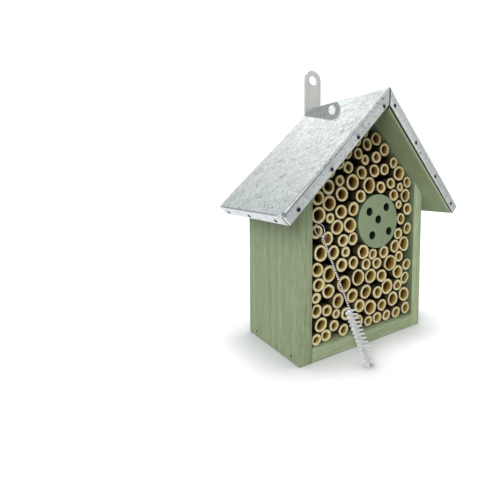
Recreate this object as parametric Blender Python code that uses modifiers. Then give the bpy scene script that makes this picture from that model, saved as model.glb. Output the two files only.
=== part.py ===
"""A bee hotel: a painted timber house with a folded metal roof, packed with bamboo tubes.

Metres, +Z up. X runs left to right, Y runs from the open front to the back. The origin is the
centre of the base, on the surface that the house stands on. Run it with
blender --background --python part.py, or from Blender's text editor.
"""

import math

import bmesh
import bpy
import numpy as np
from mathutils import Matrix, Vector

# Fits shared by all pieces
CLEARANCE = 0.0003
CUT_OVERRUN = 0.002

# Timber house: the wall height is to the roof's underside at the outer face
BODY_WIDTH = 0.145
BODY_DEPTH = 0.0895
WALL_HEIGHT = 0.1355
WALL_THICKNESS = 0.012
FLOOR_THICKNESS = 0.012
BACK_THICKNESS = 0.009
TIMBER_EASING = 0.0004

# Roof boards and the folded sheet over them
ROOF_PITCH = math.radians(45)
ROOF_SLOPE = 0.1433
FRONT_OVERHANG = 0.0223
ROOF_BOARD_THICKNESS = 0.0104
SHEET_THICKNESS = 0.0005
LIP_DEPTH = 0.0094
LIP_SLIT = 0.0008

# Nails: places are shares of the edge that they follow
NAIL_HEAD_WIDTH = 0.003
NAIL_HEAD_HEIGHT = 0.0007
NAIL_SHANK_WIDTH = 0.0014
NAIL_TIP = 0.0015
NAIL_SIDES = 6
LIP_NAIL_LENGTH = 0.010
LIP_NAIL_DROP = 0.0068
FRONT_NAIL_SHARES = {"left": (0.11, 0.38, 0.63, 0.91), "right": (0.10, 0.38, 0.67, 0.93)}
EAVE_NAIL_SHARES = (0.13, 0.48, 0.89)
WALL_NAIL_LENGTH = 0.025
WALL_NAIL_DEPTH_SHARES = (0.14, 0.84)
WALL_NAIL_HEIGHT_SHARE = 0.42

# Hanging tab and its screws
TAB_WIDTH = 0.0197
TAB_THICKNESS = 0.0012
TAB_RISE = 0.0379
TAB_BELOW_RIDGE = 0.052
TAB_HOLE_WIDTH = 0.0095
TAB_ARC_POINTS = 16
SCREW_HEAD_WIDTH = 0.0062
SCREW_HEAD_HEIGHT = 0.0019
SCREW_SHANK_WIDTH = 0.003
SCREW_LENGTH = 0.0085
SCREW_SIDES = 10
SCREW_EDGE_DISTANCE = 0.008
SCREW_SPACING = 0.013

# Round block with drilled holes: places of the holes are shares of its radius
BLOCK_WIDTH = 0.0495
BLOCK_SIDES = 32
BLOCK_PLACE_SHARES = (0.21, 0.503)
BLOCK_RECESS = 0.001
BLOCK_HOLE_WIDTH = 0.0074
BLOCK_HOLE_DEPTH = 0.060
BLOCK_HOLE_SIDES = 10
BLOCK_HOLE_SHARES = ((-0.46, 0.37), (0.40, 0.51), (-0.01, 0.07), (-0.30, -0.50), (0.56, -0.41))

# Bamboo tubes: each is closed at its back end by the cane's own joint
TUBE_WIDTH = 0.012
TUBE_WALL = 0.0025
TUBE_END_WALL = 0.004
TUBE_RECESS = 0.0015
TUBE_STAGGER = 0.0025
TUBE_SIDES = 8
LEAST_BORE_SHARE = 0.3
GLUE_WIDTH = 0.0016
GLUE_LENGTH = 0.012
SETTLE_STEPS = 600
PUSH_SHARE = 0.4
PULL_SHARE = 0.1
STAGGER_STEP_SHARE = 0.618

# Each row is one glued bundle. A tube has its place across, as a share of half the room's
# width, its place up, as a share of the room's height, and its width as a share of TUBE_WIDTH.
BUNDLE_SHARES = (
    ((-0.93, 0.027, 0.85), (-0.77, 0.026, 0.88), (-0.84, 0.083, 1.12)),
    ((-0.73, 0.139, 0.88), (-0.90, 0.154, 1.00), (-0.93, 0.212, 0.79)),
    ((-0.61, 0.058, 0.88), (-0.44, 0.032, 0.94), (-0.54, 0.102, 0.75), (-0.38, 0.098, 1.00)),
    ((-0.54, 0.165, 1.12), (-0.69, 0.219, 1.08), (-0.43, 0.232, 1.29)),
    ((-0.13, 0.121, 1.00), (-0.26, 0.174, 1.08), (-0.01, 0.177, 1.17)),
    ((-0.15, 0.045, 1.17), (0.07, 0.031, 0.88), (0.08, 0.101, 1.21)),
    ((0.26, 0.035, 0.96), (0.45, 0.035, 0.92), (0.38, 0.090, 1.00)),
    ((0.71, 0.030, 1.00), (0.90, 0.042, 1.04), (0.88, 0.113, 1.21)),
    ((0.58, 0.108, 1.25), (0.23, 0.163, 1.00), (0.47, 0.174, 1.29), (0.70, 0.172, 0.96)),
    ((0.12, 0.245, 1.21), (0.33, 0.239, 1.04), (0.49, 0.296, 1.37)),
    ((0.88, 0.197, 1.12), (0.69, 0.240, 1.12), (0.89, 0.270, 1.04)),
    ((0.73, 0.316, 0.96), (0.61, 0.371, 1.12), (0.85, 0.374, 1.29), (0.69, 0.430, 0.96)),
    ((-0.92, 0.273, 1.00), (-0.70, 0.298, 1.25), (-0.90, 0.339, 1.04)),
    ((0.25, 0.306, 0.96), (0.14, 0.354, 0.92), (0.35, 0.354, 1.00)),
    ((-0.15, 0.250, 1.33), (0.01, 0.306, 0.96), (-0.08, 0.372, 1.12)),
    ((-0.48, 0.324, 1.04), (-0.26, 0.326, 1.00), (-0.39, 0.374, 0.83)),
    ((-0.59, 0.382, 1.08), (-0.79, 0.402, 1.17), (-0.69, 0.462, 1.04)),
    ((-0.44, 0.430, 1.00), (-0.25, 0.417, 1.00), (-0.29, 0.488, 1.17), (-0.25, 0.564, 1.08)),
    ((-0.91, 0.466, 1.00), (-0.88, 0.534, 1.21), (-0.90, 0.605, 1.04)),
    ((-0.53, 0.493, 1.12), (-0.67, 0.526, 0.75), (-0.69, 0.585, 1.17), (-0.46, 0.564, 1.08)),
    ((0.89, 0.455, 1.04), (0.77, 0.506, 1.00), (0.89, 0.549, 1.00)),
    ((0.67, 0.575, 0.75), (0.58, 0.623, 1.00), (0.70, 0.660, 0.75), (0.51, 0.681, 0.92)),
    ((0.84, 0.618, 1.17), (0.88, 0.683, 0.96), (0.69, 0.727, 1.21), (0.53, 0.785, 0.92)),
    ((-0.47, 0.633, 1.12), (-0.51, 0.683, 0.83), (-0.29, 0.681, 1.21), (-0.36, 0.749, 0.92)),
    ((0.03, 0.671, 1.29), (0.28, 0.661, 0.96), (-0.11, 0.727, 1.04), (-0.14, 0.620, 1.00)),
    ((0.16, 0.737, 1.04), (0.35, 0.744, 0.96), (0.16, 0.800, 0.92)),
    ((-0.71, 0.653, 1.08), (-0.90, 0.673, 0.92), (-0.73, 0.725, 1.08), (-0.56, 0.762, 1.00)),
    ((-0.19, 0.809, 0.92), (-0.03, 0.784, 0.83), (-0.41, 0.813, 1.04), (-0.24, 0.867, 0.92)),
    ((-0.01, 0.846, 1.00), (0.34, 0.836, 1.04), (0.18, 0.886, 1.08), (-0.08, 0.917, 0.88)),
)

# Cleaning brush: it leans on the tubes with its tip on the ground
BRUSH_LENGTH = 0.1208
BRUSH_LEAN = math.radians(21.1)
BRUSH_TURN = math.radians(36.8)
BRUSH_TOP_SHARE = -0.895
BRUSH_CORE_WIDTH = 0.0026
BRUSH_CORE_SIDES = 12
BRUSH_TIP = 0.0018
BRISTLE_WIDTH = 0.0112
BRISTLE_TURN_LENGTH = 0.0067
BRISTLE_TURNS = 7.75
BRISTLE_PAIRS_PER_TURN = 24
BRISTLE_THICKNESS = 0.00034
BRISTLE_SIDES = 3
BRISTLE_ROOT = 0.0003
STEM_WIDTH = 0.0021
STEM_SIDES = 8
LOOP_WIRE_WIDTH = 0.0011
LOOP_WIDTH = 0.0098
LOOP_HEIGHT = 0.0135
LOOP_POINTS = 16
SEAT_POINTS = 97

# Colour, roughness and metallic value of each finish
FINISHES = {
    "painted_wall": ((0.27, 0.33, 0.20, 1.0), 0.75, 0.0),
    "painted_front": ((0.31, 0.38, 0.24, 1.0), 0.75, 0.0),
    "painted_soffit": ((0.19, 0.25, 0.13, 1.0), 0.80, 0.0),
    "painted_block": ((0.24, 0.31, 0.20, 1.0), 0.75, 0.0),
    "galvanised_sheet": ((0.62, 0.66, 0.66, 1.0), 0.40, 0.9),
    "galvanised_tab": ((0.55, 0.57, 0.54, 1.0), 0.38, 0.9),
    "bamboo": ((0.62, 0.50, 0.28, 1.0), 0.55, 0.0),
    "nail_steel": ((0.30, 0.30, 0.30, 1.0), 0.40, 1.0),
    "brush_wire": ((0.60, 0.60, 0.60, 1.0), 0.30, 1.0),
    "nylon": ((0.85, 0.85, 0.83, 1.0), 0.50, 0.0),
}

# Planes and lengths that several pieces share
FRONT_Y = -BODY_DEPTH / 2
BACK_Y = BODY_DEPTH / 2
ROOM_HALF = BODY_WIDTH / 2 - WALL_THICKNESS
ROOM_BACK_Y = BACK_Y - BACK_THICKNESS
SOFFIT_Z = WALL_HEIGHT + BODY_WIDTH / 2 * math.tan(ROOF_PITCH)
ROOM_HEIGHT = SOFFIT_Z - FLOOR_THICKNESS
BOARD_TOP = SHEET_THICKNESS + CLEARANCE
BOARD_UNDER = BOARD_TOP + ROOF_BOARD_THICKNESS
RIDGE_Z = SOFFIT_Z + BOARD_UNDER / math.cos(ROOF_PITCH)
ROOF_FRONT_Y = FRONT_Y - FRONT_OVERHANG
SIDES = {"left": -1, "right": 1}

made = {}
collections = {}


def clear_scene():
    for obj in list(bpy.data.objects):
        bpy.data.objects.remove(obj, do_unlink=True)
    for name in ("bee_hotel", "cutters"):
        collections[name] = bpy.data.collections.new(name)
        bpy.context.scene.collection.children.link(collections[name])
    collections["cutters"].hide_render = True


def finish(name):
    """The named finish, as a Principled material made once."""
    if name not in made:
        colour, roughness, metallic = FINISHES[name]
        made[name] = bpy.data.materials.new(name)
        made[name].use_nodes = True
        made[name].diffuse_color = colour
        shader = made[name].node_tree.nodes["Principled BSDF"]
        shader.inputs["Base Color"].default_value = colour
        shader.inputs["Roughness"].default_value = roughness
        shader.inputs["Metallic"].default_value = metallic
    return made[name]


def add_part(name, mesh, material):
    """A node of the model from a mesh or a curve."""
    part = bpy.data.objects.new(name, mesh)
    part.data.materials.append(finish(material))
    collections["bee_hotel"].objects.link(part)
    return part


def add_cutter(name, mesh):
    cutter = bpy.data.objects.new(name, mesh)
    cutter.hide_render = True
    cutter.display_type = "WIRE"
    collections["cutters"].objects.link(cutter)
    return cutter


def combine(part, other, operation):
    """Cuts one mesh from the part, or joins it to the part."""
    modifier = part.modifiers.new(operation.lower(), "BOOLEAN")
    modifier.operation = operation
    modifier.solver = "EXACT"
    modifier.object = other


def ease_edges(part, width):
    bevel = part.modifiers.new("eased_edges", "BEVEL")
    bevel.width = width
    bevel.segments = 1
    bevel.limit_method = "ANGLE"


def mesh_from(shape):
    """A mesh from the shapes that were added to a bmesh."""
    mesh = bpy.data.meshes.new("shape")
    shape.to_mesh(mesh)
    shape.free()
    mesh.shade_smooth()
    mesh.set_sharp_from_angle(angle=math.radians(40))
    return mesh


def frame_along(direction, origin):
    """A matrix whose Z axis runs along the direction, at the origin."""
    turn = Vector(direction).to_track_quat("Z", "Y").to_matrix().to_4x4()
    return Matrix.Translation(Vector(origin)) @ turn


def add_rod(shape, start, direction, length, radius, sides, end_radius=None):
    """Adds a closed rod that runs from start along direction to a bmesh."""
    direction = Vector(direction).normalized()
    middle = Vector(start) + direction * length / 2
    bmesh.ops.create_cone(
        shape,
        cap_ends=True,
        segments=sides,
        radius1=radius,
        radius2=radius if end_radius is None else end_radius,
        depth=length,
        matrix=frame_along(direction, middle),
    )


def add_box(shape, low, high):
    low, high = Vector(low), Vector(high)
    size = Matrix.Diagonal((high - low).to_4d())
    bmesh.ops.create_cube(shape, size=1, matrix=Matrix.Translation((low + high) / 2) @ size)


def slab(outline, low_y, high_y, holes=()):
    """A mesh of an outline of (x, z) points, with its holes, that fills from low_y to high_y."""
    curve = bpy.data.curves.new("outline", "CURVE")
    curve.dimensions = "2D"
    curve.fill_mode = "BOTH"
    curve.extrude = (high_y - low_y) / 2
    for points in (outline, *holes):
        spline = curve.splines.new("POLY")
        spline.points.add(len(points) - 1)
        for point, (x, z) in zip(spline.points, points):
            point.co = Vector((x, z, 0)).to_4d()
        spline.use_cyclic_u = True
    guide = bpy.data.objects.new("outline", curve)
    bpy.context.scene.collection.objects.link(guide)
    bpy.context.view_layer.update()
    graph = bpy.context.evaluated_depsgraph_get()
    mesh = bpy.data.meshes.new_from_object(guide.evaluated_get(graph))
    bpy.data.objects.remove(guide)
    shape = bmesh.new()
    shape.from_mesh(mesh)
    bmesh.ops.remove_doubles(shape, verts=shape.verts, dist=CLEARANCE / 10)
    bmesh.ops.recalc_face_normals(shape, faces=shape.faces)
    upright = Matrix.Translation((0, (low_y + high_y) / 2, 0)) @ Matrix.Rotation(math.pi / 2, 4, "X")
    bmesh.ops.transform(shape, matrix=upright, verts=shape.verts)
    return mesh_from(shape)


def on_roof(side, along, under):
    """The (x, z) point that far down the slope from the ridge and that far under the sheet."""
    across = along * math.cos(ROOF_PITCH) - under * math.sin(ROOF_PITCH)
    drop = along * math.sin(ROOF_PITCH) + under * math.cos(ROOF_PITCH)
    return side * across, RIDGE_Z - drop


def at_mitre(side, inset, under):
    """The (x, z) point under the sheet that lies that far from the middle of the ridge."""
    along = (inset + under * math.sin(ROOF_PITCH)) / math.cos(ROOF_PITCH)
    return on_roof(side, along, under)


def soffit_height(x, gap):
    """Height of a surface that follows the roof's underside with a gap square to it."""
    return SOFFIT_Z - abs(x) * math.tan(ROOF_PITCH) - gap / math.cos(ROOF_PITCH)


def make_walls():
    """The two side walls, which run down to the ground and are cut to the roof's slope."""
    for name, side in SIDES.items():
        outer, inner = side * BODY_WIDTH / 2, side * ROOM_HALF
        outline = (
            (outer, 0),
            (inner, 0),
            (inner, soffit_height(inner, CLEARANCE)),
            (outer, soffit_height(outer, CLEARANCE)),
        )
        wall = add_part(f"{name}_wall", slab(outline, FRONT_Y, BACK_Y), "painted_wall")
        ease_edges(wall, TIMBER_EASING)


def make_floor():
    half = ROOM_HALF - CLEARANCE
    shape = bmesh.new()
    add_box(shape, (-half, FRONT_Y, 0), (half, BACK_Y, FLOOR_THICKNESS))
    floor = add_part("floor_board", mesh_from(shape), "painted_front")
    ease_edges(floor, TIMBER_EASING)


def make_back_panel():
    """The gable-shaped panel between the walls, on the floor board and under the roof."""
    half = ROOM_HALF - CLEARANCE
    foot = FLOOR_THICKNESS + CLEARANCE
    outline = (
        (-half, foot),
        (half, foot),
        (half, soffit_height(half, CLEARANCE)),
        (0, soffit_height(0, CLEARANCE)),
        (-half, soffit_height(half, CLEARANCE)),
    )
    panel = add_part("back_panel", slab(outline, ROOM_BACK_Y, BACK_Y), "painted_wall")
    ease_edges(panel, TIMBER_EASING)


def make_roof_boards():
    """Two boards that meet in a mitre under the ridge, inside the sheet's lips."""
    low_y = ROOF_FRONT_Y + BOARD_TOP
    high_y = BACK_Y - BOARD_TOP
    eave = ROOF_SLOPE - BOARD_TOP
    for name, side in SIDES.items():
        outline = (
            at_mitre(side, CLEARANCE / 2, BOARD_TOP),
            on_roof(side, eave, BOARD_TOP),
            on_roof(side, eave, BOARD_UNDER),
            at_mitre(side, CLEARANCE / 2, BOARD_UNDER),
        )
        board = add_part(f"{name}_roof_board", slab(outline, low_y, high_y), "painted_soffit")
        ease_edges(board, TIMBER_EASING)


def chevron(eave, upper, lower):
    """Outline of both slopes out to the eave, between two depths under the sheet's face."""
    right = (on_roof(1, eave, upper), on_roof(1, eave, lower))
    left = [(-x, z) for x, z in reversed(right)]
    return [at_mitre(1, 0, upper), *right, at_mitre(1, 0, lower), *left]


def make_roof_sheet():
    """One sheet bent over the ridge, with lips folded down all round and slit under the ridge."""
    solid = slab(chevron(ROOF_SLOPE, 0, LIP_DEPTH), ROOF_FRONT_Y, BACK_Y)
    sheet = add_part("roof_sheet", solid, "galvanised_sheet")
    half = LIP_SLIT / 2
    slit_top = at_mitre(1, 0, 2 * SHEET_THICKNESS)[1] - half * math.tan(ROOF_PITCH)
    slit_foot = at_mitre(1, 0, LIP_DEPTH + CUT_OVERRUN)[1]
    shape = bmesh.new()
    low = (-half, ROOF_FRONT_Y - CUT_OVERRUN, slit_foot)
    add_box(shape, low, (half, BACK_Y + CUT_OVERRUN, slit_top))
    combine(sheet, add_cutter("ridge_slit", mesh_from(shape)), "DIFFERENCE")
    inside = slab(
        chevron(ROOF_SLOPE - SHEET_THICKNESS, SHEET_THICKNESS, LIP_DEPTH + CUT_OVERRUN),
        ROOF_FRONT_Y + SHEET_THICKNESS,
        BACK_Y - SHEET_THICKNESS,
    )
    combine(sheet, add_cutter("under_sheet", inside), "DIFFERENCE")


def drill(part_name, holes, sides):
    """Cuts round holes from a part. Each hole is a start, a direction, a depth and a radius."""
    shape = bmesh.new()
    for start, direction, depth, radius in holes:
        add_rod(shape, start, direction, depth, radius / math.cos(math.pi / sides), sides)
    cutter = add_cutter(f"{part_name}_holes", mesh_from(shape))
    combine(bpy.data.objects[part_name], cutter, "DIFFERENCE")


def profile_mesh(profile):
    """A mesh of edges through (radius, height) points, top to bottom, to turn about Z."""
    shape = bmesh.new()
    corners = [shape.verts.new((radius, 0, height)) for radius, height in profile]
    for upper, lower in zip(corners, corners[1:]):
        shape.edges.new((upper, lower))
    return mesh_from(shape)


def add_turned(name, profile, sides, seat, outward, material):
    """A turned piece that stands on its seat with its axis along outward."""
    piece = add_part(name, profile_mesh(profile), material)
    piece.matrix_world = frame_along(outward, seat)
    screw = piece.modifiers.new("turn", "SCREW")
    screw.steps = sides
    screw.render_steps = sides
    screw.use_merge_vertices = True
    screw.merge_threshold = CLEARANCE / 10
    screw.use_smooth_shade = True


def make_nail(name, seat, inward, length):
    head, shank = NAIL_HEAD_WIDTH / 2, NAIL_SHANK_WIDTH / 2
    top = CLEARANCE + NAIL_HEAD_HEIGHT
    profile = (
        (0, top),
        (head, top),
        (head, CLEARANCE),
        (shank, CLEARANCE),
        (shank, NAIL_TIP - length),
        (0, -length),
    )
    add_turned(name, profile, NAIL_SIDES, seat, -Vector(inward), "nail_steel")


def nail_row(prefix, seats, inward, length, plies):
    """Nails at the seats, with a hole for each in every ply: a name, its start and its depth."""
    inward = Vector(inward)
    radius = NAIL_SHANK_WIDTH / 2 + CLEARANCE
    for number, seat in enumerate(seats, 1):
        make_nail(f"{prefix}_{number}", seat, inward, length)
    return [
        (ply, [(Vector(seat) + inward * start, inward, depth, radius) for seat in seats])
        for ply, start, depth in plies
    ]


def make_lip_nails():
    """Nails through the sheet's front and eave lips into the edges of the roof boards."""
    roof_depth = BACK_Y - ROOF_FRONT_Y
    sheet_hole = (-CUT_OVERRUN, SHEET_THICKNESS + 2 * CUT_OVERRUN)
    board_hole = (0, LIP_NAIL_LENGTH + CLEARANCE)
    cuts = []
    for name, side in SIDES.items():
        plies = (("roof_sheet", *sheet_hole), (f"{name}_roof_board", *board_hole))
        front = []
        for share in FRONT_NAIL_SHARES[name]:
            x, z = on_roof(side, share * ROOF_SLOPE, LIP_NAIL_DROP)
            front.append((x, ROOF_FRONT_Y, z))
        cuts += nail_row(f"front_nail_{name}", front, (0, 1, 0), LIP_NAIL_LENGTH, plies)
        x, z = on_roof(side, ROOF_SLOPE, LIP_NAIL_DROP)
        eave = [(x, ROOF_FRONT_Y + share * roof_depth, z) for share in EAVE_NAIL_SHARES]
        up_slope = (-side * math.cos(ROOF_PITCH), 0, math.sin(ROOF_PITCH))
        cuts += nail_row(f"eave_nail_{name}", eave, up_slope, LIP_NAIL_LENGTH, plies)
    for ply in ("roof_sheet", "left_roof_board", "right_roof_board"):
        drill(ply, [hole for name, holes in cuts if name == ply for hole in holes], NAIL_SIDES)


def make_wall_nails():
    """Nails through each wall into the ends of the floor board."""
    cuts = []
    height = WALL_NAIL_HEIGHT_SHARE * FLOOR_THICKNESS
    in_floor = WALL_NAIL_LENGTH - WALL_THICKNESS + CLEARANCE
    for name, side in SIDES.items():
        seats = [
            (side * BODY_WIDTH / 2, FRONT_Y + share * BODY_DEPTH, height)
            for share in WALL_NAIL_DEPTH_SHARES
        ]
        plies = (
            (f"{name}_wall", -CUT_OVERRUN, WALL_THICKNESS + 2 * CUT_OVERRUN),
            ("floor_board", WALL_THICKNESS, in_floor),
        )
        cuts += nail_row(f"wall_nail_{name}", seats, (-side, 0, 0), WALL_NAIL_LENGTH, plies)
    for ply in ("left_wall", "right_wall", "floor_board"):
        drill(ply, [hole for name, holes in cuts if name == ply for hole in holes], NAIL_SIDES)


def make_hanging_tab():
    """The strap with a hole that the house hangs by, screwed to the back panel."""
    half = TAB_WIDTH / 2
    foot = RIDGE_Z - TAB_BELOW_RIDGE
    eye = RIDGE_Z + TAB_RISE - half
    turns = np.linspace(0, math.pi, TAB_ARC_POINTS)
    outline = [(-half, foot), (half, foot)]
    outline += [(half * math.cos(turn), eye + half * math.sin(turn)) for turn in turns]
    face = BACK_Y + CLEARANCE
    outer = face + TAB_THICKNESS
    tab = add_part("hanging_tab", slab(outline, face, outer), "galvanised_tab")
    through = TAB_THICKNESS + 2 * CUT_OVERRUN
    radius = SCREW_SHANK_WIDTH / 2 + CLEARANCE
    holes = [((0, face - CUT_OVERRUN, eye), (0, 1, 0), through, TAB_HOLE_WIDTH / 2)]
    pilot_holes = []
    for number in range(2):
        height = foot + SCREW_EDGE_DISTANCE + number * SCREW_SPACING
        holes.append(((0, face - CUT_OVERRUN, height), (0, 1, 0), through, radius))
        in_panel = SCREW_LENGTH - TAB_THICKNESS
        pilot_holes.append(((0, BACK_Y + CLEARANCE, height), (0, -1, 0), in_panel + CLEARANCE, radius))
        make_screw(f"tab_screw_{number + 1}", (0, outer, height))
    drill(tab.name, holes, TAB_ARC_POINTS)
    drill("back_panel", pilot_holes, SCREW_SIDES)


def make_screw(name, seat):
    """A round-head screw, driven towards the front."""
    head, shank = SCREW_HEAD_WIDTH / 2, SCREW_SHANK_WIDTH / 2
    profile = (
        (0, CLEARANCE + SCREW_HEAD_HEIGHT),
        (head * math.sin(math.pi / 6), CLEARANCE + SCREW_HEAD_HEIGHT * math.cos(math.pi / 9)),
        (head * math.sin(math.pi / 3), CLEARANCE + SCREW_HEAD_HEIGHT * math.cos(math.pi / 4)),
        (head, CLEARANCE),
        (shank, CLEARANCE),
        (shank, -SCREW_LENGTH + shank),
        (0, -SCREW_LENGTH),
    )
    add_turned(name, profile, SCREW_SIDES, seat, (0, 1, 0), "nail_steel")


def room_place(across_share, up_share):
    """The (x, z) point of a place in the room, from its shares."""
    return across_share * ROOM_HALF, FLOOR_THICKNESS + up_share * ROOM_HEIGHT


def make_block():
    """The round painted block among the tubes, with blind holes drilled in its face."""
    x, z = room_place(*BLOCK_PLACE_SHARES)
    face_y = FRONT_Y + BLOCK_RECESS
    length = ROOM_BACK_Y - CLEARANCE - face_y
    shape = bmesh.new()
    add_rod(shape, (x, face_y, z), (0, 1, 0), length, BLOCK_WIDTH / 2, BLOCK_SIDES)
    add_part("drilled_block", mesh_from(shape), "painted_block")
    holes = []
    for across, up in BLOCK_HOLE_SHARES:
        mouth = (x + across * BLOCK_WIDTH / 2, face_y - CUT_OVERRUN, z + up * BLOCK_WIDTH / 2)
        holes.append((mouth, (0, 1, 0), CUT_OVERRUN + BLOCK_HOLE_DEPTH, BLOCK_HOLE_WIDTH / 2))
    drill("drilled_block", holes, BLOCK_HOLE_SIDES)


def wall_distances(centres):
    """Distance from each centre to the walls, the floor and the roof, and the way inwards."""
    slope = np.array((math.sin(ROOF_PITCH), math.cos(ROOF_PITCH)))
    planes = (
        (np.array((1.0, 0.0)), np.array((-ROOM_HALF, 0.0))),
        (np.array((-1.0, 0.0)), np.array((ROOM_HALF, 0.0))),
        (np.array((0.0, 1.0)), np.array((0.0, FLOOR_THICKNESS))),
        (slope * (1, -1), np.array((0.0, SOFFIT_Z))),
        (slope * (-1, -1), np.array((0.0, SOFFIT_Z))),
    )
    return [(inwards, (centres - point) @ inwards) for inwards, point in planes]


def pair_gaps(centres, radii):
    """For each pair of tubes, the gap that is left after the clearance, and its direction."""
    apart = centres[:, None] - centres[None]
    distance = np.hypot(*np.moveaxis(apart, 2, 0))
    np.fill_diagonal(distance, np.inf)
    way = apart / np.where(np.isfinite(distance), distance, 1)[..., None]
    return distance - radii[:, None] - radii[None] - CLEARANCE, way


def settle(centres, radii, glued):
    """Moves the tubes apart until none overlaps another, the block or the house.

    Glued neighbours are drawn together. What can't be cleared by moving is cleared by a
    slightly slimmer tube.
    """
    block = np.array(room_place(*BLOCK_PLACE_SHARES))
    for _ in range(SETTLE_STEPS):
        gaps, way = pair_gaps(centres, radii)
        move = (PUSH_SHARE * np.maximum(-gaps, 0)[..., None] * way).sum(axis=1)
        for one, other in glued:
            pull = PULL_SHARE * max(gaps[one, other], 0)
            move[one] -= way[one, other] * pull
            move[other] += way[one, other] * pull
        centres = centres + move
        from_block = centres - block
        distance = np.hypot(*from_block.T)
        lack = np.maximum(radii + BLOCK_WIDTH / 2 + CLEARANCE - distance, 0)
        centres = centres + from_block / distance[:, None] * lack[:, None]
        for inwards, room in wall_distances(centres):
            centres = centres + inwards * np.maximum(radii + CLEARANCE - room, 0)[:, None]
    limits = [room - CLEARANCE for _, room in wall_distances(centres)]
    limits.append(np.hypot(*(centres - block).T) - BLOCK_WIDTH / 2 - CLEARANCE)
    radii = np.minimum(radii, np.min(limits, axis=0))
    gaps, _ = pair_gaps(centres, radii)
    excess = np.maximum(-gaps.min(axis=1), 0)
    return centres, radii - excess


def glue_lines(centres, radii, members):
    """The shortest set of joints that ties the members of a bundle together."""
    joined, rest, lines = members[:1], list(members[1:]), []
    while rest:
        one, other = min(
            ((a, b) for a in joined for b in rest),
            key=lambda pair: np.hypot(*(centres[pair[0]] - centres[pair[1]])) - radii[list(pair)].sum(),
        )
        lines.append((one, other))
        joined = [*joined, other]
        rest.remove(other)
    return lines


def lay_out_tubes():
    """Places, radii, bundle members and glue lines of all the tubes."""
    tubes = [tube for bundle in BUNDLE_SHARES for tube in bundle]
    centres = np.array([room_place(across, up) for across, up, _ in tubes])
    radii = np.array([TUBE_WIDTH / 2 * width for _, _, width in tubes])
    members, first = [], 0
    for bundle in BUNDLE_SHARES:
        members.append(list(range(first, first + len(bundle))))
        first += len(bundle)
    glued = [line for group in members for line in glue_lines(centres, radii, group)]
    centres, radii = settle(centres, radii, glued)
    lines = [glue_lines(centres, radii, group) for group in members]
    return centres, radii, members, lines


def tube_front(number):
    """Where a tube's front end lies: the ends are staggered a little, as cut canes are."""
    return FRONT_Y + TUBE_RECESS + TUBE_STAGGER * (number * STAGGER_STEP_SHARE % 1)


def bore_radius(radius):
    return max(radius - TUBE_WALL, radius * LEAST_BORE_SHARE)


def add_glue(shape, centres, radii, one, other):
    """Adds a bead of glue that reaches from the wall of one tube into the wall of another."""
    way = centres[other] - centres[one]
    way = way / np.hypot(*way)
    flat = math.cos(math.pi / TUBE_SIDES)
    starts = [(radii[tube] * flat + bore_radius(radii[tube])) / 2 for tube in (one, other)]
    low = centres[one] + way * starts[0]
    high = centres[other] - way * starts[1]
    middle = (low + high) / 2
    room_middle = (FRONT_Y + TUBE_RECESS + ROOM_BACK_Y) / 2
    place = Matrix.Translation((middle[0], room_middle, middle[1]))
    turn = Matrix.Rotation(-math.atan2(way[1], way[0]), 4, "Y")
    size = Matrix.Diagonal((np.hypot(*(high - low)), GLUE_LENGTH, GLUE_WIDTH, 1))
    bmesh.ops.create_cube(shape, size=1, matrix=place @ turn @ size)


def make_bundles(centres, radii, members, lines):
    """Bamboo tubes, glued to their neighbours in bundles, with a blind bore in each."""
    back = ROOM_BACK_Y - CLEARANCE
    for number, (group, joints) in enumerate(zip(members, lines), 1):
        canes, bores, glue = bmesh.new(), bmesh.new(), bmesh.new()
        for tube in group:
            x, z = centres[tube]
            front = tube_front(tube)
            add_rod(canes, (x, front, z), (0, 1, 0), back - front, radii[tube], TUBE_SIDES)
            mouth = front - CUT_OVERRUN
            depth = back - TUBE_END_WALL - mouth
            add_rod(bores, (x, mouth, z), (0, 1, 0), depth, bore_radius(radii[tube]), TUBE_SIDES)
        for one, other in joints:
            add_glue(glue, centres, radii, one, other)
        name = f"tube_bundle_{number:02d}"
        bundle = add_part(name, mesh_from(canes), "bamboo")
        combine(bundle, add_cutter(f"{name}_glue", mesh_from(glue)), "UNION")
        combine(bundle, add_cutter(f"{name}_bores", mesh_from(bores)), "DIFFERENCE")


def loop_point(turn):
    """The point at that angle on the middle of the loop's wire, in the brush's own frame."""
    half_width = (LOOP_WIDTH - LOOP_WIRE_WIDTH) / 2
    half_height = (LOOP_HEIGHT - LOOP_WIRE_WIDTH) / 2
    height = BRUSH_LENGTH - LOOP_HEIGHT / 2 + half_height * math.sin(turn)
    return Vector((half_width * math.cos(turn), 0, height))


def depth_behind(point, centres, radii):
    """How far back the loop's wire can lie at a point before it touches a tube or a wall."""
    reach = LOOP_WIRE_WIDTH / 2 + CLEARANCE
    edges = [(max(ROOM_HALF - abs(point.x), 0), FRONT_Y)]
    for number, (centre, radius) in enumerate(zip(centres, radii)):
        distance = math.hypot(point.x - centre[0], point.z - centre[1])
        aside = max(distance - radius, bore_radius(radius) - distance, 0)
        edges.append((aside, tube_front(number)))
    depths = [front - math.sqrt(reach**2 - aside**2) for aside, front in edges if aside < reach]
    return min(depths, default=ROOM_BACK_Y)


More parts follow.
